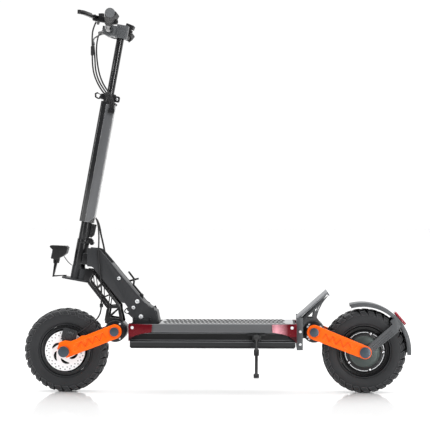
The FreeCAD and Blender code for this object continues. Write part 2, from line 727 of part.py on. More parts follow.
def neck_latch():
    """A foot-operated T-lever that lies along the neck's upper edge."""
    route = [LATCH_PIVOT, (-276, 351.5), (-273.5, 371), (-291, 394)]
    shapes = []
    for (ax, az), (bx, bz) in zip(route, route[1:]):
        shapes.append(bar_between((ax, 0, az), (bx, 0, bz), 3.2))
        shapes.append(Part.makeSphere(3.2, Vector(bx, 0, bz)))
    shapes.append(bar_between((-289, 0, 365.5), (-259, 0, 373), 3.2))
    shapes.append(rod(Vector(-274.5, -22, 368), Y_AXIS, 3, 44))
    shapes.append(across(*LATCH_PIVOT, 4.5, -3.5, 3.5))
    return fused(shapes).cut(across(*LATCH_PIVOT, 1.5 + RUNNING, -10, 10))


# ---- post, handlebar and controls ----------------------------------------------------------

def bar_route():
    centre = at_rake(BAR_U, 0, BAR_S)
    x, z = centre[0], centre[2]
    half = [(x, 58, z), (x + 7, 98, z + 13), (x + 26, 252, z + 15.5), (x + 34, BAR_HALF, z + 16.5)]
    return [(a, -b, c) for a, b, c in reversed(half)] + half


def bar_at(y):
    """The bar's centre on the straight outer run at a distance y from the middle."""
    route = bar_route()
    (x0, y0, z0), (x1, y1, z1) = route[5], route[6]
    if abs(y) > y1:
        (x0, y0, z0), (x1, y1, z1) = route[6], route[7]
    t = (abs(y) - y0) / (y1 - y0)
    return x0 + t * (x1 - x0), z0 + t * (z1 - z0)


def bar_sleeve(y, half, radius):
    """A cylinder that lies along the bar's outer run."""
    (xa, za), (xb, zb) = bar_at(abs(y) - 1), bar_at(abs(y) + 1)
    side = 1 if y > 0 else -1
    run = Vector(xb - xa, 2 * side, zb - za).normalize()
    x, z = bar_at(y)
    return rod(Vector(x, y, z).sub(Vector(run).multiply(half)), run, radius, 2 * half)


def post_tube():
    return raked(rod(Vector(0, 0, POST_LOW), Z_AXIS, POST_R, HEAD_BLOCK_LOW + 20 - POST_LOW))


def stem_head():
    post_block = rounded(block((-17.5, -19, HEAD_BLOCK_LOW), (21, 19, HEAD_BLOCK_TOP)), 6, Z_AXIS)
    neck = slab([(-12, 1190), (-12, 1224), (BAR_U, BAR_S + 17), (BAR_U, BAR_S - 17)], -17, 17)
    clamp = across(BAR_U, BAR_S, 20, -24, 24)
    whole = fused([post_block, neck, clamp])
    whole = whole.cut(across(BAR_U, BAR_S, BAR_R, -40, 40))
    return raked(whole.cut(rod(Vector(0, 0, HEAD_BLOCK_LOW - 5), Z_AXIS, POST_R, 25)))


def handlebar():
    shape, length, radii = tube_along(bar_route(), BAR_R)
    return shape


def clamp_ring(y, half, outer):
    """A split clamp round the bar's outer run."""
    return bar_sleeve(y, half, outer).cut(bar_sleeve(y, half, BAR_R + RUNNING))


def grip():
    xa, za = bar_at(-200)
    xb, zb = bar_at(-250)
    xc, zc = bar_at(-316)
    sleeve, length, radii = tube_along([(xa, -198, za), (xb, -250, zb), (xc, -318.4, zc)], 16.0)
    wing = slab([(xb - 2, zb + 14), (xb + 26, zb + 6), (xb + 29, zb + 1), (xb + 24, zb - 6),
                 (xb - 2, zb - 12)], -312, -232)
    wing = rounded(wing, 4, Y_AXIS)
    cap = rod(Vector(xc, -317.9, zc), Vector(0, -1, 0), 15.3, 2.1)
    bore, length, radii = tube_along(bar_route(), BAR_R + RUNNING)
    return fused([sleeve, wing, cap]).cut(bore)


LEVER_PIVOT_Y = 152.0


def lever_pivot():
    x, z = bar_at(LEVER_PIVOT_Y)
    return x - 46, z + 11


def brake_perch():
    """The bar clamp and body that carry a brake lever and its cable."""
    x, z = bar_at(LEVER_PIVOT_Y)
    px, pz = lever_pivot()
    clamp = clamp_ring(-LEVER_PIVOT_Y + 12, 9, 16)
    body = slab([(x - 13, z - 6), (x - 13, z + 10), (px - 6, pz + 9), (px - 8, pz - 9), (px + 12, pz - 13)],
                -LEVER_PIVOT_Y - 2, -LEVER_PIVOT_Y + 20)
    slot = block((px - 14, -LEVER_PIVOT_Y - 3, pz - 4.4), (px + 12, -LEVER_PIVOT_Y + 12, pz + 4.4))
    dome = rod(Vector(x - 26, -LEVER_PIVOT_Y + 10, z + 6), Z_AXIS, 9.5, 18)
    pin = rod(Vector(px, -LEVER_PIVOT_Y + 2, pz - 9), Z_AXIS, 2.5, 18)
    hole = rod(Vector(px, -LEVER_PIVOT_Y + 2, pz - 20), Z_AXIS, 2.5, 40)
    barrel = rod(Vector(px + 12, -LEVER_PIVOT_Y + 16, pz - 6), Vector(-0.3, 0.9, -0.5), 4.5, 22)
    whole = fused([clamp, body, dome, barrel]).cut(slot).cut(hole)
    whole = whole.cut(bar_sleeve(-LEVER_PIVOT_Y + 6, 24, BAR_R + RUNNING))
    return [whole, pin]


def brake_lever():
    px, pz = lever_pivot()
    y = -LEVER_PIVOT_Y + 2
    plan = [(px + 6, y + 6), (px - 6, y + 6), (px - 10, y - 4), (px - 14, y - 60), (px - 26, y - 112),
            (px - 38, y - 132), (px - 33, y - 138), (px - 20, y - 122), (px - 5, y - 62),
            (px + 2, y - 14), (px + 7, y - 2)]
    points = [Vector(a, b, pz - 4) for a, b in plan]
    blade = Part.Face(Part.makePolygon(points + points[:1])).extrude(Vector(0, 0, 8))
    finger = [(px - 12, y - 34), (px - 14, y - 60), (px - 26, y - 112), (px - 38, y - 132),
              (px - 33, y - 138), (px - 20, y - 122), (px - 5, y - 62), (px - 3, y - 50)]
    points = [Vector(a, b, pz - 6.2) for a, b in finger]
    finger = Part.Face(Part.makePolygon(points + points[:1])).extrude(Vector(0, 0, 12.4))
    tip = rod(Vector(px - 34, y - 134.5, pz - 6.2), Z_AXIS, 5.4, 12.4)
    whole = fused([blade, finger, tip])
    return whole.cut(rod(Vector(px, y, pz - 20), Z_AXIS, 2.5 + RUNNING, 40))


THROTTLE_Y = 178.0


def display_puck():
    x, z = bar_at(THROTTLE_Y)
    puck = rounded(block((-14, -26, -6), (14, 26, 6)), 6, Z_AXIS)
    puck.Placement = Placement(Vector(x + 34, THROTTLE_Y, z + 20), Rotation(Y_AXIS, 22))
    return puck


def throttle_display():
    """The display and the thumb throttle's housing, one unit on one bar clamp."""
    x, z = bar_at(THROTTLE_Y)
    arm = slab([(x + 8, z + 13), (x + 22, z + 21), (x + 42, z + 5.5), (x + 40, z - 2), (x + 11, z - 11)],
               THROTTLE_Y - 9, THROTTLE_Y + 9)
    whole = fused([clamp_ring(THROTTLE_Y, 11, 17), arm]).cut(bar_sleeve(THROTTLE_Y, 20, BAR_R + RUNNING))
    pin = across(x + 30, z - 6, 2.5, THROTTLE_Y - 9, THROTTLE_Y + 16)
    whole = whole.cut(across(x + 30, z - 6, 6.5, THROTTLE_Y + 0.5, THROTTLE_Y + 20))
    whole = whole.cut(across(x + 30, z - 6, 2.5, THROTTLE_Y - 20, THROTTLE_Y + 20))
    puck = display_puck()
    return [whole.cut(puck), pin.cut(puck), puck]


def thumb_throttle():
    x, z = bar_at(THROTTLE_Y)
    cx, cz = x + 30, z - 6
    hub = across(cx, cz, 5.5, THROTTLE_Y + 1, THROTTLE_Y + 15)
    paddle = slab([(cx - 4, cz), (cx + 4, cz), (cx + 8, cz - 11), (cx + 5, cz - 21), (cx - 2, cz - 26),
                   (cx - 5, cz - 21), (cx + 2, cz - 11)], THROTTLE_Y + 10, THROTTLE_Y + 15)
    return fused([hub, paddle]).cut(across(cx, cz, 2.5 + RUNNING, THROTTLE_Y - 10, THROTTLE_Y + 30))


SWITCH_Y = -174.0


def switch_pod():
    x, z = bar_at(SWITCH_Y)
    pod = rounded(block((x + 6, SWITCH_Y - 11, z - 15), (x + 26, SWITCH_Y + 11, z + 15)), 5, Y_AXIS)
    whole = fused([clamp_ring(SWITCH_Y, 9, 15.5), pod]).cut(bar_sleeve(SWITCH_Y, 20, BAR_R + RUNNING))
    for dz in (-7, 7):
        whole = whole.cut(rod(Vector(x + 20, SWITCH_Y, z + dz), X_AXIS, 5.5, 10))
    return whole


def pod_button(dz):
    x, z = bar_at(SWITCH_Y)
    return rod(Vector(x + 22.5, SWITCH_Y, z + dz), X_AXIS, 5.0, 5.5)


def post_pieces():
    nodes["post_tube"] = [post_tube()]
    nodes["stem_head"] = [stem_head()]
    nodes["handlebar"] = [handlebar()]
    nodes["grips"] = both_sides(grip())
    nodes["throttle_display"] = throttle_display()
    nodes["switch_pod"] = [switch_pod()]
    perch = brake_perch()
    nodes["brake_perches"] = perch + [mirrored(shape) for shape in perch]
    nodes["brake_lever_left"] = [brake_lever()]
    nodes["brake_lever_right"] = [mirrored(brake_lever())]
    nodes["thumb_throttle"] = [thumb_throttle()]
    nodes["horn_button"] = [pod_button(7)]
    nodes["light_button"] = [pod_button(-7)]


# ---- kickstand -----------------------------------------------------------------------------

def stand_bracket():
    plate = block((101, -DECK_HALF, 194), (160, -RECESS_HALF, 198))
    lug = block((STAND_X - 14, -112, 178), (STAND_X + 14, -RECESS_HALF, 194.5))
    boss = rod(Vector(0, 2.5, 0), Y_AXIS, 9, 14)
    boss.Placement = STAND_FRAME.multiply(boss.Placement)
    core = fused([plate, lug, boss])
    return core.cut(block((80, -RECESS_HALF, 150), (200, -60, 220)))


def stand_leg():
    """The leg in its own frame: it hangs along -Z from a hub on the bracket's bolt."""
    hub = rod(Vector(0, -7, 0), Y_AXIS, 10, 9.2)
    neck = rod(Vector(0, -3, -6), Vector(0, 0, -1), 5.0, STAND_LENGTH - 12)
    sleeve = rod(Vector(0, -3, -42), Vector(0, 0, -1), 8.5, 18)
    foot = rounded(block((-9, -8, -STAND_LENGTH), (9, 4, -STAND_LENGTH + 11)), 3, Y_AXIS)
    leg = fused([hub, neck, sleeve, foot])
    leg.Placement = STAND_FRAME
    return leg


def stand_pieces():
    nodes["kickstand_bracket"] = [stand_bracket()]
    nodes["kickstand_leg"] = [stand_leg()]


# ---- cables --------------------------------------------------------------------------------

LEFT_BRAKE = [(-386, -126, 1206), (-398, -112, 1186), (-404, -84, 1160), (-406, -58, 1128),
              (-408, -46, 1090), (-405, -40, 1052), (-394, -36, 1020), (-378, -33, 992),
              (-360, -31, 972), (-350, -29, 955), (-351.7, -27, 936.3)]
RIGHT_BRAKE = [(-386, 126, 1206), (-402, 104, 1190), (-412, 66, 1178), (-412, 24, 1168),
               (-408, -14, 1152), (-402, -38, 1126), (-399, -46, 1092), (-397, -44, 1054),
               (-386, -40, 1020), (-368, -38, 992), (-353, -34, 972), (-344, -30, 955),
               (-345.8, -27, 935.2)]
CONTROL_LOOM = [(-342, 172, 1187.6), (-350, 150, 1184), (-360, 122, 1184), (-371, 92, 1187),
                (-380, 60, 1190), (-385, 28, 1191), (-388, -4, 1186), (-392, -30, 1166),
                (-395, -44, 1130), (-392, -46, 1088), (-386, -46, 1050), (-375, -46, 1018),
                (-359, -44, 992), (-345, -39, 972), (-338, -32, 954), (-339.9, -27, 934.1)]
LOWER_BRAKE = [(-399.8, -9, 573.4), (-394.4, -12.5, 560), (-390.6, -19, 542), (-388, -30, 520),
               (-386, -45, 500), (-385.5, -58, 478), (-385, -60, 448), (-383, -60, 416),
               (-380, -58, 384), (-377, -57, 350), (-376.6, -56, 318), (-377, -56, 293)]
CALIPER_HOSE = [(-377.3, -56, 280.2), (-379, -56, 264), (-388, -56.5, 246), (-405, -57, 229),
                (-428, -57, 212), (-453.2, -57, 196.2)]
LOWER_LOOM = [(-399.4, 14.4, 568.4), (-394, 15, 557), (-389.4, 15.5, 539), (-386, 15, 518),
              (-381, 14, 498), (-376, 12, 477), (-372, 10, 453), (-368.6, 9, 428.8)]
LAMP_WIRE = [(-506.8, 0, 446), (-502.5, 0, 439.5), (-496.4, 0, 431), (-489.4, 0, 423.6),
             (-481.2, 0, 417)]


def cable_pieces():
    cord("brake_cable_left", LEFT_BRAKE, CABLE_R)
    cord("brake_cable_right", RIGHT_BRAKE, CABLE_R)
    cord("control_loom", CONTROL_LOOM, CABLE_R)
    cord("front_brake_hose", LOWER_BRAKE, CABLE_R)
    cord("caliper_hose", CALIPER_HOSE, CABLE_R)
    cord("main_loom", LOWER_LOOM, LOOM_R)
    cord("headlight_wire", LAMP_WIRE, WIRE_R)


def main():
    deck_pieces()
    neck_pieces()
    rear_frame_pieces()
    fork_pieces()
    headlight_pieces()
    arm_pieces()
    wheel_pieces()
    fender_pieces()
    stem_pieces()
    nodes["neck_latch"] = [neck_latch()]
    post_pieces()
    stand_pieces()
    cable_pieces()
    os.makedirs("parts", exist_ok=True)
    whole = FreeCAD.BoundBox()
    for name, solids in nodes.items():
        for shape in solids:
            whole.add(shape.BoundBox)
        Part.Compound([s for shape in solids for s in shape.Solids]).exportStep("parts/" + name + ".step")
    print(len(nodes), "nodes", whole)


main()
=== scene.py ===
import json
import math

import bmesh
import bpy
from mathutils import Matrix, Vector


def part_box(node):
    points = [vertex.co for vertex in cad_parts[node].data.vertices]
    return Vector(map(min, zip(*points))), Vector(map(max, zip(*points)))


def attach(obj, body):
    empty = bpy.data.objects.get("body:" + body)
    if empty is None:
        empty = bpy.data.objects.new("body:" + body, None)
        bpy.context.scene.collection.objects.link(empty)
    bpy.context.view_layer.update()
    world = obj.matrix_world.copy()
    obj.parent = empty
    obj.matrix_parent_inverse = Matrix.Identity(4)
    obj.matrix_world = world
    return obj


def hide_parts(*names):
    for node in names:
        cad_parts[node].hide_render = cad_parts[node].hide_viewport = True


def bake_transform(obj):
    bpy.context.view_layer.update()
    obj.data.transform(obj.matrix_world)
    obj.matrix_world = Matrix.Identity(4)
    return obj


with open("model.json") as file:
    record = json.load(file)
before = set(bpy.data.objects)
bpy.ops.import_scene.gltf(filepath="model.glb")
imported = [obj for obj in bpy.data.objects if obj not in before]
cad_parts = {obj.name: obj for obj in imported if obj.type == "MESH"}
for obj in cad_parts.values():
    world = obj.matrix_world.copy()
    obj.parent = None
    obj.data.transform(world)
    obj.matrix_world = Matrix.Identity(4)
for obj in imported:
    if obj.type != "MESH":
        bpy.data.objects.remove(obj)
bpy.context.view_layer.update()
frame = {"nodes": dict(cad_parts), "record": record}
nodes = frame["nodes"]
node_bodies = {name: body for body, names in frame["record"]["behaviour"]["bodies"].items() for name in names}
collection = bpy.context.scene.collection

FRONT_AXLE = Vector((-0.497, 0, 0.1375))
REAR_AXLE = Vector((0.483, 0, 0.1375))
WELD = 0.00002


# ---- camera --------------------------------------------------------------------------------

def aimed(thing, place, target):
    thing.location = place
    thing.rotation_euler = (Vector(target) - Vector(place)).to_track_quat("-Z", "Y").to_euler()
    collection.objects.link(thing)
    return thing


lens = bpy.data.cameras.new("lens")
lens.sensor_width = 36
lens.lens = 126.9
camera = aimed(bpy.data.objects.new("camera", lens), (0.178, -5.0, 0.583), (-0.0066, 0, 0.583))
bpy.context.scene.camera = camera


# ---- finishes ------------------------------------------------------------------------------

class Value:
    """An output socket in a finish. Its operators add Math nodes."""

    def __init__(self, finish, socket):
        self.finish = finish
        self.socket = socket

    def maths(self, operation, *values):
        return self.finish.add("ShaderNodeMath", {"operation": operation}, dict(enumerate(values)))

    def __add__(self, other):
        return self.maths("ADD", self, other)

    def __radd__(self, other):
        return self.maths("ADD", other, self)

    def __sub__(self, other):
        return self.maths("SUBTRACT", self, other)

    def __rsub__(self, other):
        return self.maths("SUBTRACT", other, self)

    def __mul__(self, other):
        return self.maths("MULTIPLY", self, other)

    def __rmul__(self, other):
        return self.maths("MULTIPLY", other, self)

    def __truediv__(self, other):
        return self.maths("DIVIDE", self, other)

    def __gt__(self, other):
        return self.maths("GREATER_THAN", self, other)

    def __lt__(self, other):
        return self.maths("LESS_THAN", self, other)

    def __abs__(self):
        return self.maths("ABSOLUTE", self)


class Nodes:
    """A node tree, built node by node."""

    def __init__(self, tree):
        self.tree = tree
        tree.nodes.clear()

    def add(self, kind, settings=None, values=None, output=0):
        node = self.tree.nodes.new(kind)
        for key, value in (settings or {}).items():
            if key == "stops":
                for stop, (position, colour) in zip(node.color_ramp.elements, value):
                    stop.position, stop.color = position, colour
            else:
                setattr(node, key, value)
        for key, value in (values or {}).items():
            if isinstance(value, Value):
                self.tree.links.new(value.socket, node.inputs[key])
            else:
                node.inputs[key].default_value = value
        return Value(self, node.outputs[output]) if node.outputs else None


class Finish(Nodes):
    """A material's nodes."""

    def __init__(self, name):
        self.material = bpy.data.materials.new(name)
        self.material.use_nodes = True
        super().__init__(self.material.node_tree)

    def place(self):
        return self.add("ShaderNodeTexCoord", output="Object")

    def axis(self, name):
        """The place in the object along X, Y or Z, in metres."""
        return self.add("ShaderNodeSeparateXYZ", values={"Vector": self.place()}, output=name)

    def edge(self):
        """1 on the faces that broken_edges marked, 0 elsewhere."""
        return self.add("ShaderNodeAttribute", {"attribute_name": "edge"}, output="Fac")

    def noise(self, scale, detail=3.0, vector=None):
        values = {"Scale": scale, "Detail": detail, "Vector": vector or self.place()}
        return self.add("ShaderNodeTexNoise", values=values, output="Fac")

    def steps(self, value, low, high):
        """A soft step from 0 at low to 1 at high."""
        stops = [(low, (0, 0, 0, 1)), (high, (1, 1, 1, 1))]
        return self.add("ShaderNodeValToRGB", {"stops": stops}, {"Fac": value})

    def mix(self, share, one, other):
        settings = {"data_type": "RGBA"}
        return self.add("ShaderNodeMix", settings, {0: share, 6: one, 7: other}, output=2)

    def bump(self, height, strength, distance):
        values = {"Height": height, "Strength": strength, "Distance": distance}
        return self.add("ShaderNodeBump", values=values)

    def waves(self, distance, radians):
        """Even waves along a distance, in radians to the metre."""
        return self.add("ShaderNodeMath", {"operation": "SINE"}, {0: distance * radians})

    def done(self, **inputs):
        values = {name.replace("_", " "): value for name, value in inputs.items()}
        shader = self.add("ShaderNodeBsdfPrincipled", values=values)
        self.add("ShaderNodeOutputMaterial", values={"Surface": shader})
        return self.material


def shade(red, green, blue):
    """A colour given as 0 to 255 on a screen."""
    def linear(c):
        c /= 255
        return c / 12.92 if c <= 0.04045 else ((c + 0.055) / 1.055) ** 2.4
    return (linear(red), linear(green), linear(blue), 1)


def toned(colour, factor):
    return tuple(min(1, c * factor) for c in colour[:3]) + (1,)


def coated(name, colour, rough=0.35, metal=0.0, coat=0.0, shine=0.5, grain=0.25, scale=1400, mottle=0.12,
           wear=None):
    """Paint, anodising or moulded plastic: cloudy tone, fine orange peel, and brighter handled edges."""
    f = Finish(name)
    cloud = f.noise(14, 5)
    fine = f.noise(scale, 2)
    edge = f.edge()
    rub = f.steps(f.noise(120, 4), 0.38, 0.62)
    base = f.mix(cloud * mottle * 2, toned(colour, 1 - mottle), toned(colour, 1 + mottle))
    edge_share = edge * (0.35 + 0.65 * rub) * 0.75
    tint = f.mix(edge_share, base, wear or toned(colour, 1.7))
    dust = f.noise(45, 6)
    return f.done(Base_Color=tint, Roughness=rough - 0.06 + 0.12 * dust - 0.1 * edge_share, Metallic=metal,
                  Specular_IOR_Level=shine, Coat_Weight=coat, Coat_Roughness=0.12,
                  Normal=f.bump(fine, grain, 0.0003))


def brushed(name, colour, rough=0.3):
    """Bare steel or aluminium with fine lines across it."""
    f = Finish(name)
    stretched = f.add("ShaderNodeMapping", {}, {"Vector": f.place(), "Scale": (60, 60, 3)})
    lines = f.noise(25, 4, stretched)
    cloud = f.noise(20, 4)
    tint = f.mix(cloud, toned(colour, 0.82), toned(colour, 1.1))
    return f.done(Base_Color=tint, Metallic=1.0, Roughness=rough - 0.08 + 0.2 * lines,
                  Normal=f.bump(lines, 0.12, 0.0002))


def rubber(name, colour, rough=0.72, dust=0.25):
    """Moulded rubber with a chalky bloom, fine pores, and a painted highlight on its rounded edges."""
    f = Finish(name)
    edge = f.edge()
    cloud = f.noise(22, 6)
    pores = f.noise(900, 3)
    bloom = f.steps(cloud, 0.35, 0.7)
    tint = f.mix(bloom * dust, colour, toned(colour, 2.1))
    # Painted highlight: the rounded edges are mixed towards pale grey.
    tint = f.mix(edge * 0.3, tint, shade(150, 150, 152))
    return f.done(Base_Color=tint, Roughness=rough + 0.12 * bloom - 0.05, Specular_IOR_Level=0.35,
                  Normal=f.bump(pores + 2 * cloud, 0.3, 0.0004))


orange_paint = coated("orange_paint", shade(255, 98, 0), rough=0.4, shine=0.2, mottle=0.05,
                      wear=shade(255, 150, 60))
black_paint = coated("black_paint", shade(19, 19, 21), rough=0.3, shine=0.34, wear=shade(92, 94, 98))
grey_paint = coated("grey_paint", shade(80, 82, 84), rough=0.42, shine=0.35, metal=0.15,
                    wear=shade(140, 142, 146))
dark_paint = coated("dark_paint", shade(47, 48, 50), rough=0.42, shine=0.3, metal=0.1,
                    wear=shade(120, 122, 126))
light_paint = coated("light_paint", shade(104, 106, 109), rough=0.38, metal=0.3, wear=shade(205, 206, 210))
black_plastic = coated("black_plastic", shade(19, 19, 20), rough=0.46, shine=0.28, grain=0.5, scale=1100,
                       wear=shade(64, 65, 67))
gloss_plastic = coated("gloss_plastic", shade(16, 17, 19), rough=0.16, coat=0.5, grain=0.05,
                       wear=shade(56, 56, 58))
slate_cap = coated("slate_cap", shade(66, 76, 86), rough=0.34, metal=0.45, wear=shade(150, 160, 170))
steel = brushed("steel", (0.72, 0.73, 0.75, 1), 0.26)
bright_steel = brushed("bright_steel", (0.85, 0.86, 0.88, 1), 0.18)
dark_steel = brushed("dark_steel", (0.16, 0.165, 0.175, 1), 0.32)
tyre_rubber = rubber("tyre_rubber", shade(33, 34, 36), 0.55)
grip_rubber = rubber("grip_rubber", shade(24, 24, 25), 0.66, 0.12)
cable_jacket = rubber("cable_jacket", shade(20, 20, 21), 0.42, 0.1)


BAND_Z = 0.2015
FOOT_Z = 0.1585
RECESS_Y = 0.1093


def deck_finish():
    """Grey upper band, black recess and a darker lower band with a black foot, and a painted highlight on the
    rounded edges above 0.16 m.
    """
    f = Finish("deck_finish")
    height = f.axis("Z")
    across = abs(f.axis("Y"))
    edge = f.edge()
    cloud = f.noise(14, 5)
    fine = f.noise(1300, 2)
    drawn = f.add("ShaderNodeMapping", {}, {"Vector": f.place(), "Scale": (2, 60, 90)})
    lines = f.noise(12, 3, drawn)
    lower = height < BAND_Z
    recess = (across < RECESS_Y) + (height < FOOT_Z)
    band = f.mix(lower, shade(88, 89, 91), shade(40, 41, 42))
    tone = f.mix(recess, band, shade(15, 15, 16))
    # Painted highlight: the rounded edges above 0.16 m are mixed towards pale grey.
    tone = f.mix(edge * 0.5 * (height > 0.16), tone, shade(150, 152, 155))
    tone = f.mix(cloud * 0.15, tone, shade(60, 61, 63))
    return f.done(Base_Color=tone, Roughness=0.4 + 0.12 * lines, Specular_IOR_Level=0.16,
                  Normal=f.bump(fine + 2 * lines, 0.2, 0.0003))


def cap_finish():
    """Dark red anodising, darker below 0.19 m, with a painted highlight that pales it to pink towards the inner
    end of the rear caps, and painted highlights on its rounded edges.
    """
    f = Finish("cap_finish")
    along = f.axis("X")
    height = f.axis("Z")
    edge = f.edge()
    cloud = f.noise(30, 5)
    # Painted highlight: a pale pink band round x = 0.196 m, on the rear caps.
    pale = f.steps(1 - abs(along - 0.196) * 24, 0.1, 1.0)
    deep = f.mix((height < 0.19) * 0.8, shade(96, 4, 18), shade(38, 2, 7))
    tone = f.mix(pale * 0.85, deep, shade(240, 170, 182))
    # Painted highlight: the rounded edges are mixed towards pink.
    tone = f.mix(edge * 0.7, tone, shade(236, 110, 130))
    return f.done(Base_Color=tone, Roughness=0.22 + 0.1 * cloud, Metallic=0.35, Specular_IOR_Level=0.25,
                  Normal=f.bump(f.noise(1200, 2), 0.12, 0.0003))


def ribbed_grip():
    """Soft rubber with fine rings round the bar."""
    f = Finish("ribbed_grip")
    along = f.axis("Y")
    rings = f.waves(along, 1800)
    pores = f.noise(900, 3)
    cloud = f.noise(25, 5)
    tone = f.mix(cloud * 0.4, shade(26, 26, 27), shade(52, 52, 54))
    return f.done(Base_Color=tone, Roughness=0.6 + 0.1 * cloud, Specular_IOR_Level=0.4,
                  Normal=f.bump(rings + 0.4 * pores, 0.45, 0.0006))


def lamp_glass(name, colour, glow):
    """A moulded lamp lens with its prism lines."""
    f = Finish(name)
    ribs = f.add("ShaderNodeTexWave", {"bands_direction": "Z"}, {"Vector": f.place(), "Scale": 160.0},
                 output=1)
    cells = f.noise(300, 2)
    tint = f.mix(ribs, toned(colour, 0.75), colour)
    return f.done(Base_Color=tint, Roughness=0.08 + 0.1 * cells, Coat_Weight=0.8, Emission_Color=colour,
                  Emission_Strength=glow, Normal=f.bump(ribs, 0.35, 0.0006))


red_glass = lamp_glass("red_glass", shade(158, 28, 46), 0.06)
clear_glass = lamp_glass("clear_glass", shade(226, 230, 236), 0.12)


# ---- cords ---------------------------------------------------------------------------------

CABLE_R = 0.0026
LOOM_R = 0.0032
WIRE_R = 0.0014
LEFT_BRAKE = [(-0.386, -0.126, 1.206), (-0.398, -0.112, 1.186), (-0.404, -0.084, 1.160),
              (-0.406, -0.058, 1.128), (-0.408, -0.046, 1.090), (-0.405, -0.040, 1.052),
              (-0.394, -0.036, 1.020), (-0.378, -0.033, 0.992), (-0.360, -0.031, 0.972),
              (-0.350, -0.029, 0.955), (-0.3517, -0.027, 0.9363)]
RIGHT_BRAKE = [(-0.386, 0.126, 1.206), (-0.402, 0.104, 1.190), (-0.412, 0.066, 1.178),
               (-0.412, 0.024, 1.168), (-0.408, -0.014, 1.152), (-0.402, -0.038, 1.126),
               (-0.399, -0.046, 1.092), (-0.397, -0.044, 1.054), (-0.386, -0.040, 1.020),
               (-0.368, -0.038, 0.992), (-0.353, -0.034, 0.972), (-0.344, -0.030, 0.955),
               (-0.3458, -0.027, 0.9352)]
CONTROL_LOOM = [(-0.342, 0.172, 1.1876), (-0.350, 0.150, 1.184), (-0.360, 0.122, 1.184),
                (-0.371, 0.092, 1.187), (-0.380, 0.060, 1.190), (-0.385, 0.028, 1.191),
                (-0.388, -0.004, 1.186), (-0.392, -0.030, 1.166), (-0.395, -0.044, 1.130),
                (-0.392, -0.046, 1.088), (-0.386, -0.046, 1.050), (-0.375, -0.046, 1.018),
                (-0.359, -0.044, 0.992), (-0.345, -0.039, 0.972), (-0.338, -0.032, 0.954),
                (-0.3399, -0.027, 0.9341)]
LOWER_BRAKE = [(-0.3998, -0.009, 0.5734), (-0.3944, -0.0125, 0.560), (-0.3906, -0.019, 0.542),
               (-0.388, -0.030, 0.520), (-0.386, -0.045, 0.500), (-0.3855, -0.058, 0.478),
               (-0.385, -0.060, 0.448), (-0.383, -0.060, 0.416), (-0.380, -0.058, 0.384),
               (-0.377, -0.057, 0.350), (-0.3766, -0.056, 0.318), (-0.377, -0.056, 0.293)]
CALIPER_HOSE = [(-0.3773, -0.056, 0.2802), (-0.379, -0.056, 0.264), (-0.388, -0.0565, 0.246),
                (-0.405, -0.057, 0.229), (-0.428, -0.057, 0.212), (-0.4532, -0.057, 0.1962)]
LOWER_LOOM = [(-0.3994, 0.0144, 0.5684), (-0.394, 0.015, 0.557), (-0.3894, 0.0155, 0.539),
              (-0.386, 0.015, 0.518), (-0.381, 0.014, 0.498), (-0.376, 0.012, 0.477),
              (-0.372, 0.010, 0.453), (-0.3686, 0.009, 0.4288)]
LAMP_WIRE = [(-0.5068, 0, 0.446), (-0.5025, 0, 0.4395), (-0.4964, 0, 0.431), (-0.4894, 0, 0.4236),
             (-0.4812, 0, 0.417)]


def taken(source, name):
    """The evaluated shape as a plain mesh object of its own; the source goes."""
    bpy.context.view_layer.update()
    depsgraph = bpy.context.evaluated_depsgraph_get()
    mesh = bpy.data.meshes.new_from_object(source.evaluated_get(depsgraph), depsgraph=depsgraph)
    bpy.data.objects.remove(source)
    mesh.name = name
    piece = bpy.data.objects.new(name, mesh)
    collection.objects.link(piece)
    return piece


def line_through(name, kind, route, radius, roundness):
    """A round-section curve object through a route, and its spline."""
    curve = bpy.data.curves.new(name, "CURVE")
    curve.dimensions = "3D"
    curve.bevel_depth = radius
    curve.bevel_resolution = roundness
    curve.use_fill_caps = radius > 0
    spline = curve.splines.new(kind)
    spline.points.add(len(route) - 1)
    for point, place in zip(spline.points, route):
        point.co = (*place, 1)
    line = bpy.data.objects.new(name, curve)
    collection.objects.link(line)
    return line, spline


def smooth_line(name, route, radius):
    """A cord's own smooth line through its route, with or without thickness."""
    line, spline = line_through(name, "NURBS", route, radius, 3)
    spline.order_u = 3
    spline.use_endpoint_u = True
    spline.resolution_u = 10
    return taken(line, name)


def line_points(name, route):
    line = smooth_line(name + "_line", route, 0.0)
    points = [tuple(v.co) for v in line.data.vertices]
    bpy.data.objects.remove(line)
    return points


def soft(piece, material):
    """Smooth all over, in one material."""
    for face in piece.data.polygons:
        face.use_smooth = True
    piece.data.materials.append(material)
    return piece


def sleeve(node, route, radius, start, end):
    """A moulded joint cover on a cord, from one distance along its line to another."""
    points, run, kept = line_points(node, route), 0.0, []
    for a, b in zip(points, points[1:]):
        run += (Vector(b) - Vector(a)).length
        if start <= run <= end:
            kept.append(b)
    line, spline = line_through(node + "_cover", "POLY", kept, radius, 4)
    for end_point in (spline.points[0], spline.points[-1]):
        end_point.radius = 0.72
    cover = soft(taken(line, node + "_cover"), black_plastic)
    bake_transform(cover)
    return cover


def cord(node, route, radius, pieces=()):
    """One cord along its own smooth route between two bodies; its CAD node is hidden."""
    piece = soft(smooth_line(node + "_cord", route, radius), cable_jacket)
    points = line_points(node, route)
    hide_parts(node)
    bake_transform(piece)


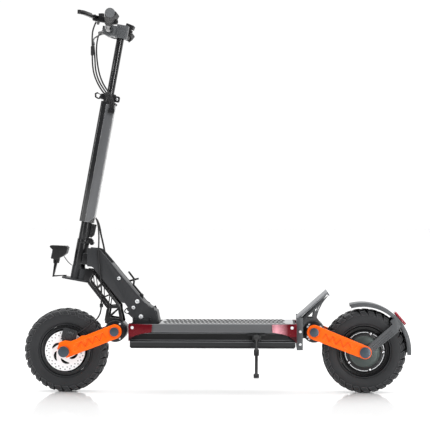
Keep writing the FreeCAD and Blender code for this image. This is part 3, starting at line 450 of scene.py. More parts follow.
cord("brake_cable_left", LEFT_BRAKE, CABLE_R,
     pieces=[sleeve("brake_cable_left", LEFT_BRAKE, 0.0052, 0.096, 0.131)])
cord("brake_cable_right", RIGHT_BRAKE, CABLE_R,
     pieces=[sleeve("brake_cable_right", RIGHT_BRAKE, 0.0040, 0.148, 0.170)])
cord("control_loom", CONTROL_LOOM, CABLE_R)
cord("front_brake_hose", LOWER_BRAKE, CABLE_R)
cord("caliper_hose", CALIPER_HOSE, CABLE_R)
cord("main_loom", LOWER_LOOM, LOOM_R)
cord("headlight_wire", LAMP_WIRE, WIRE_R)


# ---- machined and moulded pieces -----------------------------------------------------------

def smooth(mesh, angle=35):
    mesh.polygons.foreach_set("use_smooth", [True] * len(mesh.polygons))
    mesh.set_sharp_from_angle(angle=math.radians(angle))


def broken_edges(piece, width, segments=2, angle=32):
    """Rounds a piece's edges, and marks the rounded faces for the finishes' bright wear and their painted edge
    highlights.
    """
    piece.data.materials.clear()
    for kind in ("flat", "rounded"):
        piece.data.materials.append(black_paint)
    piece.data.polygons.foreach_set("material_index", [0] * len(piece.data.polygons))
    bevel = piece.modifiers.new("edges", "BEVEL")
    bevel.width = width
    bevel.segments = segments
    bevel.limit_method = "ANGLE"
    bevel.angle_limit = math.radians(angle)
    bevel.material = 1
    name = piece.name
    piece.name = name + "_raw"
    finished = taken(piece, name)
    mesh = finished.data
    # The rounded faces: the mask for the coated finishes' bright wear and for the painted edge highlights in
    # rubber, deck_finish and cap_finish.
    edge_share = mesh.attributes.new("edge", "FLOAT", "FACE")
    edge_share.data.foreach_set("value", [float(face.material_index) for face in mesh.polygons])
    mesh.polygons.foreach_set("material_index", [0] * len(mesh.polygons))
    return finished


def painted(piece, material, angle=35):
    piece.data.materials.clear()
    piece.data.materials.append(material)
    smooth(piece.data, angle)
    return piece


def node_copy(node, name):
    """A CAD node's shape as one welded mesh of large faces."""
    shape = bmesh.new()
    shape.from_mesh(nodes[node].data)
    bmesh.ops.remove_doubles(shape, verts=shape.verts, dist=WELD)
    bmesh.ops.dissolve_limit(shape, angle_limit=math.radians(1), verts=shape.verts, edges=shape.edges)
    mesh = bpy.data.meshes.new(name)
    shape.to_mesh(mesh)
    shape.free()
    piece = bpy.data.objects.new(name, mesh)
    collection.objects.link(piece)
    return piece


def settled(piece, node, *others):
    """The piece stands for its node and rides on that node's body."""
    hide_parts(node, *others)
    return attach(piece, node_bodies[node])


def dressed(node, material, width=0.0007):
    """A CAD node's shape with its edges rounded and a finish on it."""
    return settled(painted(broken_edges(node_copy(node, node + "_piece"), width), material), node)


# ---- repeated pieces -----------------------------------------------------------------------

def layout_tree(name, inputs, set_out):
    """A node group that sets copies of a piece out, makes them real and gives them a material."""
    tree = bpy.data.node_groups.new(name, "GeometryNodeTree")
    for title, kind in (("Geometry", "Geometry"), ("Piece", "Object"), *inputs, ("Finish", "Material")):
        tree.interface.new_socket(title, in_out="INPUT", socket_type="NodeSocket" + kind)
    tree.interface.new_socket("Geometry", in_out="OUTPUT", socket_type="NodeSocketGeometry")
    work = Nodes(tree)
    given = tree.nodes.new("NodeGroupInput")
    wanted = {socket.name: Value(work, socket) for socket in given.outputs if socket.name}
    piece = work.add("GeometryNodeObjectInfo", values={"Object": wanted["Piece"]}, output="Geometry")
    places = {"Instance": piece, **set_out(work, wanted)}
    copies = work.add("GeometryNodeInstanceOnPoints", values=places)
    real = work.add("GeometryNodeRealizeInstances", values={"Geometry": copies})
    finished = work.add("GeometryNodeSetMaterial", values={"Geometry": real, "Material": wanted["Finish"]})
    work.add("NodeGroupOutput", values={"Geometry": finished})
    return tree


def round_an_axle(work, wanted):
    points = work.add("GeometryNodePoints", values={"Count": wanted["Count"], "Position": wanted["Centre"]})
    turn = wanted["Start"] + work.add("GeometryNodeInputIndex") * (2 * math.pi) / wanted["Count"]
    return {"Points": points, "Rotation": work.add("ShaderNodeCombineXYZ", values={"Y": turn})}


def along_a_line(work, wanted):
    line = work.add("GeometryNodeMeshLine", {"mode": "OFFSET"}, {
        "Count": wanted["Count"], "Start Location": wanted["First"], "Offset": wanted["Step"]})
    return {"Points": line}


def on_bolt_holes(work, wanted):
    """A bolt head on each point, turned and sized by the point's own values."""
    size, turn = (work.add("GeometryNodeInputNamedAttribute", {"data_type": "FLOAT_VECTOR"}, {"Name": name})
                  for name in ("size", "turn"))
    return {"Points": wanted["Geometry"], "Rotation": turn, "Scale": size}


ROUND_AN_AXLE = layout_tree("round_an_axle", (("Count", "Int"), ("Start", "Float"), ("Centre", "Vector")),
                            round_an_axle)
ALONG_A_LINE = layout_tree("along_a_line", (("Count", "Int"), ("First", "Vector"), ("Step", "Vector")),
                           along_a_line)
ON_BOLT_HOLES = layout_tree("on_bolt_holes", (), on_bolt_holes)


def laid_out(name, tree, base=None, **inputs):
    """The pieces that a layout tree sets out, as one mesh. Their pattern piece goes."""
    base = base or bpy.data.objects.new(name + "_base", bpy.data.meshes.new(name + "_base"))
    if not base.users_collection:
        collection.objects.link(base)
    layout = base.modifiers.new("layout", "NODES")
    layout.node_group = tree
    for item in tree.interface.items_tree:
        if item.in_out == "INPUT" and item.name in inputs:
            layout[item.identifier] = inputs[item.name]
    piece = taken(base, name)
    bpy.data.objects.remove(inputs["Piece"])
    return piece


def joined(name, *pieces):
    """Several meshes as one piece."""
    whole = bmesh.new()
    for piece in pieces:
        whole.from_mesh(piece.data)
    material = pieces[0].data.materials[0] if pieces[0].data.materials else None
    for piece in pieces:
        bpy.data.objects.remove(piece)
    return as_piece(name, whole, material)


def as_piece(name, shape, material=None):
    mesh = bpy.data.meshes.new(name)
    shape.to_mesh(mesh)
    shape.free()
    piece = bpy.data.objects.new(name, mesh)
    if material:
        mesh.materials.append(material)
    collection.objects.link(piece)
    return piece


def skinned(shape, rings, closed):
    """Faces from ring to ring, closed into a loop or capped at both ends."""
    count = len(rings[0])
    for one, other in list(zip(rings, rings[1:])) + ([(rings[-1], rings[0])] if closed else []):
        for n in range(count):
            m = (n + 1) % count
            shape.faces.new((one[n], one[m], other[m], other[n]))
    if not closed:
        shape.faces.new(rings[0])
        shape.faces.new(list(reversed(rings[-1])))
    bmesh.ops.recalc_face_normals(shape, faces=shape.faces)


def walled(shape, near, far):
    """Two like outlines as the ends of a prism."""
    shape.faces.new(near)
    shape.faces.new(list(reversed(far)))
    for n in range(len(near)):
        m = (n + 1) % len(near)
        shape.faces.new((near[m], near[n], far[n], far[m]))
    bmesh.ops.recalc_face_normals(shape, faces=shape.faces)


def with_mirror(half, middle=()):
    """Half a profile of (radius, y), then its middle and its mirror image."""
    return half + list(middle) + [(radius, -y) for radius, y in reversed(half)]


def lathed(name, profile, centre, segments=96, closed=True):
    """A profile of (radius, y) turned round a wheel's axle."""
    shape = bmesh.new()
    rings = []
    for radius, y in profile:
        ring = []
        for n in range(segments):
            angle = 2 * math.pi * n / segments
            ring.append(shape.verts.new((centre.x + radius * math.cos(angle), centre.y + y,
                                         centre.z + radius * math.sin(angle))))
        rings.append(ring)
    skinned(shape, rings, closed)
    return as_piece(name, shape)


def plate(name, outline, low, high, lift=None):
    """An outline in x and z as a plate from y low to y high. lift places each corner."""
    shape = bmesh.new()
    lift = lift or (lambda x, y, z: (x, y, z))
    near = [shape.verts.new(lift(x, low, z)) for x, z in outline]
    far = [shape.verts.new(lift(x, high, z)) for x, z in outline]
    walled(shape, near, far)
    return as_piece(name, shape)


def pierced_disc(name, outlines, y, thick, centre):
    """A flat disc with cut-outs, cut from sheet: the first outline is its rim."""
    curve = bpy.data.curves.new(name, "CURVE")
    curve.dimensions = "2D"
    curve.fill_mode = "BOTH"
    curve.extrude = thick / 2
    for outline in outlines:
        spline = curve.splines.new("POLY")
        spline.points.add(len(outline) - 1)
        for point, (x, z) in zip(spline.points, outline):
            point.co = (x, z, 0, 1)
        spline.use_cyclic_u = True
    flat = bpy.data.objects.new(name, curve)
    collection.objects.link(flat)
    piece = taken(flat, name)
    piece.data.transform(Matrix.Translation((centre.x, y, centre.z)) @ Matrix.Rotation(math.pi / 2, 4, "X"))
    return piece


def circle(radius, count=48, x=0.0, z=0.0):
    return [(x + radius * math.cos(2 * math.pi * n / count), z + radius * math.sin(2 * math.pi * n / count))
            for n in range(count)]


def attached(piece, body, material=None, angle=35):
    """A piece of its own that rides on a body."""
    if material:
        painted(piece, material, angle)
    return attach(piece, body)


RAKE = math.radians(10.4)
STEER_GROUND_X = -0.5336


def raked(u, y, s):
    """A place along the steering axis: u to the rear of it, s up it."""
    return (STEER_GROUND_X + u * math.cos(RAKE) + s * math.sin(RAKE), y,
            s * math.cos(RAKE) - u * math.sin(RAKE))


# ---- bolts ---------------------------------------------------------------------------------

def bolt_head():
    """A button head with a hexagon socket, of radius 1 and height 1, its face towards -Y."""
    shape = bmesh.new()
    profile = [(1.0, 0.0), (1.0, -0.45), (0.93, -0.72), (0.78, -0.93), (0.62, -1.0)]
    count = 24
    rings = [[shape.verts.new((x, y, z)) for x, z in circle(radius, count)] for radius, y in profile]
    for depth in (-1.0, -0.35):
        ring = []
        for n in range(count):
            angle = 2 * math.pi * n / count
            flat = 0.45 * math.cos(math.pi / 6) / math.cos(angle % (math.pi / 3) - math.pi / 6)
            ring.append(shape.verts.new((flat * math.cos(angle), depth, flat * math.sin(angle))))
        rings.append(ring)
    skinned(shape, rings, closed=False)
    return as_piece("bolt_head", shape)


def islands(node):
    """The lowest and highest corner of each separate solid of a CAD node."""
    shape = bmesh.new()
    shape.from_mesh(nodes[node].data)
    bmesh.ops.remove_doubles(shape, verts=shape.verts, dist=WELD)
    left = set(shape.verts)
    boxes = []
    while left:
        group, edge = [], [left.pop()]
        while edge:
            vert = edge.pop()
            group.append(vert.co.copy())
            for link in vert.link_edges:
                other = link.other_vert(vert)
                if other in left:
                    left.remove(other)
                    edge.append(other)
        low = Vector([min(co[k] for co in group) for k in range(3)])
        high = Vector([max(co[k] for co in group) for k in range(3)])
        boxes.append((low, high))
    shape.free()
    return sorted(boxes, key=lambda box: tuple(box[0]))


def bolts(name, seats, material):
    """One mesh of bolt heads. A seat is (place, radius, height, direction +1 or -1 along Y)."""
    base = bmesh.new()
    for place, radius, height, side in seats:
        base.verts.new(place)
    points = as_piece(name + "_points", base)
    sizes = [(radius, height, radius) for place, radius, height, side in seats]
    turns = [(0, 0, 0 if side < 0 else math.pi) for place, radius, height, side in seats]
    for key, values in (("size", sizes), ("turn", turns)):
        store = points.data.attributes.new(key, "FLOAT_VECTOR", "POINT")
        store.data.foreach_set("vector", [number for value in values for number in value])
    return painted(laid_out(name, ON_BOLT_HOLES, points, Piece=bolt_head(), Finish=material), material, 40)


pale_steel = coated("pale_steel", shade(232, 234, 236), rough=0.3, metal=0.25, grain=0.1, mottle=0.04)


def frame_bolts():
    seats = []
    for low, high in islands("frame_bolts"):
        centre, size = (low + high) / 2, high - low
        side = -1 if centre.y < 0 else 1
        seats.append(((centre.x, centre.y - side * size.y / 2, centre.z), size.x / 2, size.y * 1.15, side))
    settled(bolts("frame_bolts_piece", seats, pale_steel), "frame_bolts")


frame_bolts()


# ---- wheels --------------------------------------------------------------------------------

LUGS = 30
TREAD_R = 0.1374


def lug(name, outline, half_width, slant, sweep):
    """One tread block at the top of a wheel: an outline of (y, radius) across the tyre."""
    shape = bmesh.new()
    sides = []
    for end in (-1, 1):
        sides.append([shape.verts.new((end * half_width * (0.86 if radius > 0.135 else 1)
                                       + slant * (TREAD_R - radius) + sweep * abs(y), y, radius))
                      for y, radius in outline])
    walled(shape, *sides)
    return broken_edges(as_piece(name, shape), 0.0009, 1, 20)


SHOULDER = [(0.0185, TREAD_R), (0.0290, 0.1360), (0.0358, 0.1305), (0.0392, 0.1225), (0.0396, 0.1165),
            (0.0370, 0.1165), (0.0320, 0.1270), (0.0170, 0.1320)]
CROWN = [(0.0012, TREAD_R), (0.0150, 0.1372), (0.0160, 0.1310), (0.0010, 0.1315)]


def flipped(outline):
    return [(-y, radius) for y, radius in outline]


def tyre(node, centre):
    flank = [(0.0822, 0.0262), (0.0828, 0.0310), (0.0842, 0.0338), (0.0862, 0.0343), (0.0880, 0.0335),
             (0.0893, 0.0352), (0.0915, 0.0368), (0.0945, 0.0372), (0.0990, 0.0384), (0.1060, 0.0394),
             (0.1130, 0.0391), (0.1190, 0.0374), (0.1245, 0.0340), (0.1290, 0.0285), (0.1318, 0.0205),
             (0.1330, 0.0110)]
    carcass = lathed(node + "_carcass", with_mirror(flank, [(0.1333, 0.0)]), centre, 120)
    pitch = 2 * math.pi / LUGS
    rows = []
    for n, (outline, half_width, slant, sweep, start) in enumerate((
            (SHOULDER, 0.0090, 0.55, 0.10, 0.0), (flipped(SHOULDER), 0.0090, 0.55, 0.10, 0.5),
            (CROWN, 0.0085, 0.0, 0.35, 0.12), (flipped(CROWN), 0.0085, 0.0, 0.35, 0.62))):
        pattern = lug(node + "_lug_pattern_" + str(n), outline, half_width, slant, sweep)
        rows.append(laid_out(node + "_lugs_" + str(n), ROUND_AN_AXLE, Piece=pattern, Count=LUGS,
                             Start=start * pitch, Centre=tuple(centre), Finish=tyre_rubber))
    whole = painted(joined(node + "_piece", carcass, *rows), tyre_rubber, 38)
    settled(whole, node)


def rotor(node, centre, face):
    """A drilled brake disc with curved windows in its carrier."""
    outlines = [circle(0.0658, 120), circle(0.0125, 40)]
    for n in range(24):
        angle = 2 * math.pi * n / 24
        for radius, turn, size in ((0.0606, 0.0, 0.0021), (0.0535, math.pi / 24, 0.0019)):
            outlines.append(circle(size, 12, radius * math.cos(angle + turn),
                                   radius * math.sin(angle + turn)))
    for n in range(6):
        start = 2 * math.pi * n / 6
        window = [(start + turn, radius) for turn, radius in (
            (0, 0.0285), (0.15, 0.0345), (0.35, 0.0395), (0.55, 0.0425), (0.75, 0.0440), (0.88, 0.0435),
            (0.85, 0.0405), (0.70, 0.0365), (0.50, 0.0325), (0.30, 0.0292), (0.12, 0.0272))]
        outlines.append([(r * math.cos(a), r * math.sin(a)) for a, r in window])
    disc = pierced_disc(node + "_piece", outlines, face, 0.0024, centre)
    settled(painted(broken_edges(disc, 0.0002, 1, 50), rotor_steel, 30), node)


tyre("front_tyre", FRONT_AXLE)
tyre("rear_tyre", REAR_AXLE)
# Bright steel painted near-white with little metal: partly its own bright tone, partly a painted reflection of
# white surroundings.
rotor_steel = coated("rotor_steel", shade(240, 241, 243), rough=0.35, metal=0.2, grain=0.08, mottle=0.02)
rotor("front_rotor", FRONT_AXLE, -0.04955)
rotor("rear_rotor", REAR_AXLE, 0.05245)
web_cover = lathed("front_web_cover", with_mirror(
    [(0.0245, -0.0066), (0.0300, -0.0076), (0.0600, -0.0076), (0.0640, -0.0066)]), FRONT_AXLE, 96)
attached(web_cover, "front_wheel", black_paint, 30)


HUB_BOLT_R = 0.061
HUB_START = math.radians(71)


def hub_motor():
    """The motor drum, its bolted cover and the bright ring between its bolts."""
    half = [(0.0815, 0.0188), (0.0818, 0.0300), (0.0800, 0.0322), (0.0780, 0.0318), (0.0770, 0.0240),
            (0.0700, 0.0232), (0.0682, 0.0250), (0.0676, 0.0385), (0.0660, 0.0402), (0.0560, 0.0412),
            (0.0540, 0.0420), (0.0525, 0.0435), (0.0200, 0.0440), (0.0060, 0.0440)]
    well = [(0.0750, -0.0160), (0.0750, 0.0160)]
    lid = [(0.0505, 0.0425), (0.0510, 0.0455), (0.0498, 0.0466), (0.0470, 0.0462), (0.0455, 0.0470),
           (0.0230, 0.0478), (0.0222, 0.0470), (0.0180, 0.0470), (0.0180, 0.0425)]
    drum = lathed("hub_motor_drum", with_mirror(half) + well, REAR_AXLE, 120)
    settled(painted(drum, black_paint, 28), "hub_motor")
    for side, name in ((-1, "left"), (1, "right")):
        cover = lathed("hub_cover_" + name, [(radius, side * y) for radius, y in lid], REAR_AXLE, 96)
        attached(cover, "rear_wheel", hub_cover_finish, 30)
        arcs = []
        for n in range(5):
            start, sweep = HUB_START + 2 * math.pi * n / 5 + math.radians(7), math.radians(58)
            turns = [start + sweep * k / 16 for k in range(17)]
            arc = [(0.0640 * math.cos(turn), 0.0640 * math.sin(turn)) for turn in turns]
            arc += [(0.0622 * math.cos(turn), 0.0622 * math.sin(turn)) for turn in reversed(turns)]
            arcs.append(pierced_disc("hub_arc_%d_%s" % (n, name), [arc], side * 0.0412, 0.0016, REAR_AXLE))
        attached(joined("hub_ring_" + name, *arcs), "rear_wheel", bright_steel, 30)
    seats = []
    for side in (-1, 1):
        for n in range(5):
            angle = HUB_START + 2 * math.pi * n / 5
            seats.append(((REAR_AXLE.x + HUB_BOLT_R * math.cos(angle), side * 0.0402,
                           REAR_AXLE.z + HUB_BOLT_R * math.sin(angle)), 0.0044, 0.0042, side))
    attached(bolts("hub_bolts", seats, bright_steel), "rear_wheel")


hub_cover_finish = coated("hub_cover", shade(70, 78, 76), rough=0.4, metal=0.5, shine=0.4,
                          wear=shade(150, 158, 156))
hub_motor()


def valve(name, centre, body, angle):
    """A bent valve stem at the rim."""
    route = [(centre.x + r * math.cos(angle), y, centre.z + r * math.sin(angle))
             for r, y in ((0.070, -0.012), (0.066, -0.020), (0.0665, -0.030), (0.0675, -0.038))]
    stem = smooth_line(name, route, 0.0026)
    attached(stem, body, grip_rubber)


valve("front_valve", FRONT_AXLE, "front_wheel", math.radians(205))


# ---- stem ----------------------------------------------------------------------------------

def stem_panels():
    outline = [(-0.0045, 0.5700), (0.0060, 0.5700), (0.0236, 0.5890), (0.0236, 0.9660), (-0.0045, 0.9635)]
    lip_outline = [(0.0170, 0.9650), (0.0262, 0.9650), (0.0266, 0.9715), (0.0200, 0.9715)]
    for side, name in ((-1, "left"), (1, "right")):
        low, high = sorted((side * 0.0222, side * 0.0236))
        panel = plate("stem_panel_" + name, outline, low, high, raked)
        attached(broken_edges(panel, 0.0005), "stem", panel_finish)
        low, high = sorted((side * 0.0140, side * 0.0242))
        lip = plate("stem_lip_" + name, lip_outline, low, high, raked)
        attached(broken_edges(lip, 0.0006), "stem", black_paint)


panel_finish = coated("panel_grey", shade(94, 95, 97), rough=0.36, metal=0.35, shine=0.4, mottle=0.06,
                      wear=shade(200, 200, 202))
stem_panels()


# ---- arms, pivots and caliper --------------------------------------------------------------

FRONT_PIVOT = Vector((-0.332, 0, 0.2025))
REAR_PIVOT = Vector((0.318, 0, 0.2025))


def stroke(name, path, width, low, high):
    """A flat band of even width along a path in x and z."""
    left, right = [], []
    for n, here in enumerate(path):
        back, ahead = Vector(path[max(n - 1, 0)]), Vector(path[min(n + 1, len(path) - 1)])
        side = (ahead - back).normalized()
        left.append((here[0] - side.y * width / 2, here[1] + side.x * width / 2))
        right.append((here[0] + side.y * width / 2, here[1] - side.x * width / 2))
    pieces = []
    for n in range(len(path) - 1):
        pieces.append(plate("%s_%d" % (name, n), [left[n], left[n + 1], right[n + 1], right[n]], low, high))
    return joined(name, *pieces)


def arm_marks(node, body, axle, pivot):
    """Darker orange bands on both faces of an arm, as painted shade in its shallow zigzag relief and in the
    ring groove round its pivot.
    """
    low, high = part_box(node)
    start, end = Vector((axle.x, axle.z)), Vector((pivot.x, pivot.z))
    along = (end - start).normalized()
    upward = Vector((-along.y, along.x)) * (1 if along.x > 0 else -1)
    length = (end - start).length
    bands = []
    for side, face in ((-1, low[1]), (1, high[1])):
        near, far = sorted((face + side * 0.00025, face - side * 0.002))
        zigzag = [start + along * length * t + upward * h for t, h in (
            (0.27, -0.002), (0.36, 0.010), (0.41, -0.010), (0.51, 0.010), (0.55, -0.010), (0.65, 0.010),
            (0.69, -0.010), (0.79, 0.010), (0.82, -0.009))]
        for n in range(len(zigzag) - 1):
            bands.append(stroke("%s_zigzag_%d_%d" % (node, side, n), zigzag[n:n + 2], 0.0032, near, far))
        middle = math.atan2(-along.y, -along.x)
        ringed = [end + Vector((math.cos(middle + t), math.sin(middle + t))) * 0.0186
                  for t in (-1.3, -0.9, -0.5, -0.1, 0.3, 0.7, 1.1, 1.5)]
        bands.append(stroke("%s_ring_%d" % (node, side), ringed, 0.0016, near, far))
    # Painted shade: the darker orange bands stand for the shade in the relief grooves.
    attached(joined(node + "_marks", *bands), body, arm_mark)


PIVOT_BOLT_R = 0.0285
PIVOT_BOLT_TURN = 0.98


def pivot_bolts():
    """Two screws on each face of both pivot housings, on the side away from the arm."""
    for node, body, pivot, outward in (("front_pivot_housing", "fork", FRONT_PIVOT, 1),
                                       ("rear_pivot_housing", "chassis", REAR_PIVOT, -1)):
        low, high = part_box(node)
        seats = []
        for side, face in ((-1, low[1]), (1, high[1])):
            for turn in (-PIVOT_BOLT_TURN, PIVOT_BOLT_TURN):
                seats.append(((pivot.x + outward * PIVOT_BOLT_R * math.cos(turn), face,
                               pivot.z + PIVOT_BOLT_R * math.sin(turn)), 0.0034, 0.0015, side))
        attached(bolts(node + "_screws", seats, pale_steel), body)


def caliper_details():
    """A piston cap and cooling fins on each of the two calipers."""
    for node, body, axle, side in (("front_caliper", "front_arm", FRONT_AXLE, -1),
                                   ("rear_caliper", "rear_arm", REAR_AXLE, 1)):
        low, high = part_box(node)
        face = low[1] if side < 0 else high[1]
        centre = Vector(((low[0] + high[0]) / 2, 0, (low[2] + high[2]) / 2))
        cap = lathed(node + "_cap", [(0.0002, face + side * 0.0020), (0.0062, face + side * 0.0020),
                                     (0.0072, face + side * 0.0012), (0.0094, face + side * 0.0012),
                                     (0.0100, face + side * 0.0002), (0.0100, face - side * 0.0030)],
                     centre, 48, closed=False)
        attached(cap, body, dark_paint)
        outward = (centre - axle).normalized()
        beside = Vector((outward.z, 0, -outward.x))
        fins = []
        for n in range(4):
            place = centre + outward * (0.0125 + 0.0001 * n) + beside * 0.0052 * (n - 1.5)
            ends = [place, place + outward * 0.0065]
            near, far = sorted((face + side * 0.0012, face - side * 0.0040))
            fins.append(stroke("%s_fin_%d" % (node, n), [(end.x, end.z) for end in ends], 0.0026, near, far))
        attached(joined(node + "_fins", *fins), body, grey_paint)


# Painted shade: darker orange for the arms' relief grooves.
arm_mark = coated("arm_mark", shade(226, 76, 0), rough=0.45, shine=0.2, mottle=0.05)
arm_marks("front_arms", "front_arm", FRONT_AXLE, FRONT_PIVOT)
arm_marks("rear_arms", "rear_arm", REAR_AXLE, REAR_PIVOT)
pivot_bolts()
caliper_details()


# ---- neck and folding lever ----------------------------------------------------------------

def neck_details():
    """Stop blocks at the foot of the neck."""
    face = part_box("neck_plates")[1][1]
    blocks = []
    for side in (-1, 1):
        near, far = sorted((side * face, side * (face + 0.004)))
        for x in (-0.2665, -0.2175):
            outline = [(x - 0.0042, 0.2345), (x - 0.0034, 0.2490), (x + 0.0034, 0.2490), (x + 0.0042, 0.2345)]
            blocks.append(plate("neck_block_%d_%d" % (side, x * 1e4), outline, near, far))
    attached(broken_edges(joined("neck_blocks", *blocks), 0.0008), "chassis", black_paint)


def lever_dots():
    """Knurled rows of dots on both sides of the folding lever's grip."""
    rows = []
    for side in (-1, 1):
        for n in range(3):
            dome = bmesh.new()
            bmesh.ops.create_icosphere(dome, subdivisions=1, radius=0.0011)
            pattern = as_piece("lever_dot_pattern_%d_%d" % (side, n), dome)
            first = raked(0.0198 + 0.0044 * n, side * 0.0086, 0.5345)
            step = Vector(raked(0.0198 + 0.0044 * n, side * 0.0086, 0.5390)) - Vector(first)
            rows.append(laid_out("lever_dots_%d_%d" % (side, n), ALONG_A_LINE, Piece=pattern, Count=7,
                                 First=first, Step=tuple(step), Finish=grey_paint))
    attached(joined("lever_dots", *rows), "fold_lever", grey_paint)


neck_details()
lever_dots()


# ---- deck ----------------------------------------------------------------------------------

MAT_PITCH = 0.0136


def grip_mat():
    """The mat's light sheet and its rows of slanted dark ribs."""
    low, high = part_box("grip_mat")
    sheet = bmesh.new()
    bmesh.ops.create_cube(sheet, size=1)
    for vert in sheet.verts:
        vert.co = Vector([(low[k] + high[k]) / 2 + vert.co[k] * (high[k] - low[k]) for k in range(3)])
    settled(painted(broken_edges(as_piece("grip_mat_piece", sheet), 0.0008), mat_sheet), "grip_mat")
    count = int((high[0] - low[0] - 0.03) / MAT_PITCH)
    rows = []
    for n, y in enumerate((-0.066, 0.0, 0.066)):
        slant = 0.006 if n % 2 else -0.006
        outline = [(-0.0043 - slant, -0.029), (0.0043 - slant, -0.029), (0.0043 + slant, 0.029),
                   (-0.0043 + slant, 0.029)]
        rib = bmesh.new()
        base = [rib.verts.new((x, v, 0.0)) for x, v in outline]
        top = [rib.verts.new((x * 0.86, v * 0.97, 0.0013)) for x, v in outline]
        walled(rib, base, top)
        pattern = broken_edges(as_piece("mat_rib_pattern_%d" % n, rib), 0.0005, 1)
        first = (low[0] + 0.018, y, high[2] - 0.0001)
        rows.append(laid_out("mat_ribs_%d" % n, ALONG_A_LINE, Piece=pattern, Count=count, First=first,
                             Step=(MAT_PITCH, 0, 0), Finish=grip_rubber))
    attached(joined("mat_ribs", *rows), "chassis", grip_rubber)


mat_sheet = coated("mat_sheet", shade(150, 151, 152), rough=0.3, mottle=0.08, wear=shade(190, 190, 190))
grip_mat()


LID_SCREW_Y = 0.0985


def lid_screws():
    """Flat screws along both edges of the lid."""
    screws = []
    for low, high in islands("deck_covers"):
        if high.z < 0.22:
            continue
        for n in range(6):
            for side in (-1, 1):
                place = (low.x + 0.02 + (high.x - low.x - 0.04) * n / 5, side * LID_SCREW_Y, high.z)
                screw = bolt_head()
                screw.data.transform(Matrix.Translation(place) @ Matrix.Rotation(-math.pi / 2, 4, "X")
                                     @ Matrix.Diagonal((0.003, 0.0006, 0.003, 1)))
                screws.append(screw)
    attached(joined("lid_screws", *screws), "chassis", steel, 40)


lid_screws()


# ---- handlebar -----------------------------------------------------------------------------

BAR_END = Vector((-0.3203, 0, 1.2093))


def grip_ends():
    disc = [(0.0002, 0.3190), (0.0142, 0.3190), (0.0148, 0.3197), (0.0146, 0.3208), (0.0136, 0.3213),
            (0.0128, 0.3206), (0.0118, 0.3206), (0.0002, 0.3212)]
    for side, name in ((-1, "left"), (1, "right")):
        ring = lathed("grip_end_" + name, [(radius, side * y) for radius, y in disc], BAR_END, 64, closed=False)
        attached(ring, "post", end_disc, 30)


end_disc = coated("end_disc", shade(96, 98, 100), rough=0.45, shine=0.4, wear=shade(140, 140, 142))
ribbed = ribbed_grip()
grip_ends()


def head_bolts():
    """Pinch bolts on both sides of the stem head and on the collar."""
    head, collar = [], []
    for side in (-1, 1):
        for s in (1.1925, 1.2225):
            head.append((raked(-0.006, side * 0.0186, s), 0.0036, 0.0034, side))
        collar.append((raked(0.0255, side * 0.0068, 0.986), 0.0048, 0.0045, side))
    attached(bolts("head_bolts", head, dark_steel), "post")
    attached(bolts("collar_bolts", collar, steel), "stem")


head_bolts()

deck_paint = deck_finish()
cap_paint = cap_finish()
DRESSED = {
    deck_paint: {"deck_body": 0.001},
    cap_paint: {"corner_caps": 0.0014},
    ribbed: {"grips": 0.0008},
    grey_paint: {"rear_brackets": 0.001, "stem_head": 0.0015, "fender": 0.0005},
    dark_paint: {"neck_plates": 0.0008, "fork_crown": 0.0008, "deck_covers": 0.0006, "front_caliper": 0.001,
                 "rear_caliper": 0.001},
    light_paint: {"footrest": 0.0014},
    black_paint: {"head_tube": 0.0006, "steerer_tube": 0.0005, "rear_pivot_housing": 0.001,
                  "front_pivot_housing": 0.001,
                  "truss_legs": 0.0008, "kickstand_bracket": 0.0006, "kickstand_leg": 0.0006,
                  "headlight_bracket": 0.0004, "stem_socket": 0.0008, "qr_collar": 0.001,
                  "collar_lever": 0.001,
                  "front_rim": 0.001, "brake_perches": 0.0008, "brake_lever_left": 0.0012,
                  "brake_lever_right": 0.0012, "neck_latch": 0.0003},
    orange_paint: {"front_arms": 0.0014, "rear_arms": 0.0014},
    black_plastic: {"throttle_display": 0.0008, "switch_pod": 0.0008, "thumb_throttle": 0.0008,
                    "headlight_housing": 0.0015, "fold_lever": 0.001},
    slate_cap: {"front_shafts": 0.0008, "rear_shafts": 0.0008},
    red_glass: {"tail_light": 0.0012},
    clear_glass: {"headlight_lens": 0.0008},
    grip_rubber: {"horn_button": 0.0006, "light_button": 0.0006},
    gloss_plastic: {"post_tube": 0.0004, "handlebar": 0.0004, "stem_tube": 0.0008},
}
for material, widths in DRESSED.items():
    for node, width in widths.items():
        dressed(node, material, width)
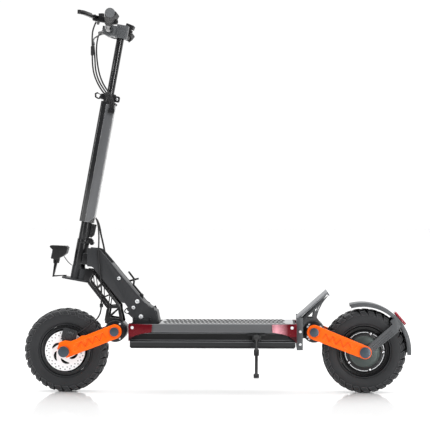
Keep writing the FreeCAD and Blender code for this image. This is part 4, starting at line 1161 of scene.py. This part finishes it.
for node in ("battery_pack", "motor_controller"):
    nodes[node].data.materials.clear()
    nodes[node].data.materials.append(black_plastic)


# ---- floor and light -----------------------------------------------------------------------

def floor_finish():
    f = Finish("pale_floor")
    cloud = f.noise(3, 3)
    tint = f.mix(cloud, (0.96, 0.96, 0.96, 1), (0.99, 0.99, 0.99, 1))
    return f.done(Base_Color=tint, Roughness=0.05 + 0.03 * cloud, Specular_IOR_Level=0.5,
                  Emission_Color=(1, 1, 1, 1), Emission_Strength=0.06)


def floor():
    shape = bmesh.new()
    bmesh.ops.create_grid(shape, x_segments=1, y_segments=1, size=60)
    as_piece("floor", shape, floor_finish())


def softbox(name, place, target, width, height, power):
    light = bpy.data.lights.new(name, "AREA")
    light.shape = "RECTANGLE"
    light.size, light.size_y, light.energy = width, height, power
    aimed(bpy.data.objects.new(name, light), place, target)


WHITE = 1.03


def daylight(room):
    """A white backdrop behind the scooter and a darker room in front of it."""
    world = bpy.data.worlds.new("studio")
    world.use_nodes = True
    studio = Nodes(world.node_tree)
    view = studio.add("ShaderNodeTexCoord")
    direction = studio.add("ShaderNodeSeparateXYZ", values={"Vector": view}, output="Y")
    behind = studio.add("ShaderNodeMapRange", {"interpolation_type": "SMOOTHSTEP"}, {
        "Value": direction, "From Min": -0.15, "From Max": 0.45, "To Min": room, "To Max": WHITE})
    seen = studio.add("ShaderNodeLightPath")
    light = seen * WHITE + (1 - seen) * behind
    backdrop = studio.add("ShaderNodeBackground", values={"Color": (1, 1, 1, 1), "Strength": light})
    studio.add("ShaderNodeOutputWorld", values={"Surface": backdrop})
    bpy.context.scene.world = world


bpy.context.scene.view_settings.view_transform = "Standard"
floor()
daylight(0.3)
softbox("overhead", (0.2, 0.4, 4.2), (0.1, 0.4, 0), 8.0, 8.0, 420)
softbox("strip_left", (-3.0, -2.2, 1.2), (-0.1, 0, 0.6), 0.4, 2.8, 36)
softbox("strip_right", (2.2, -3.6, 1.3), (0, 0, 0.6), 0.3, 2.8, 70)
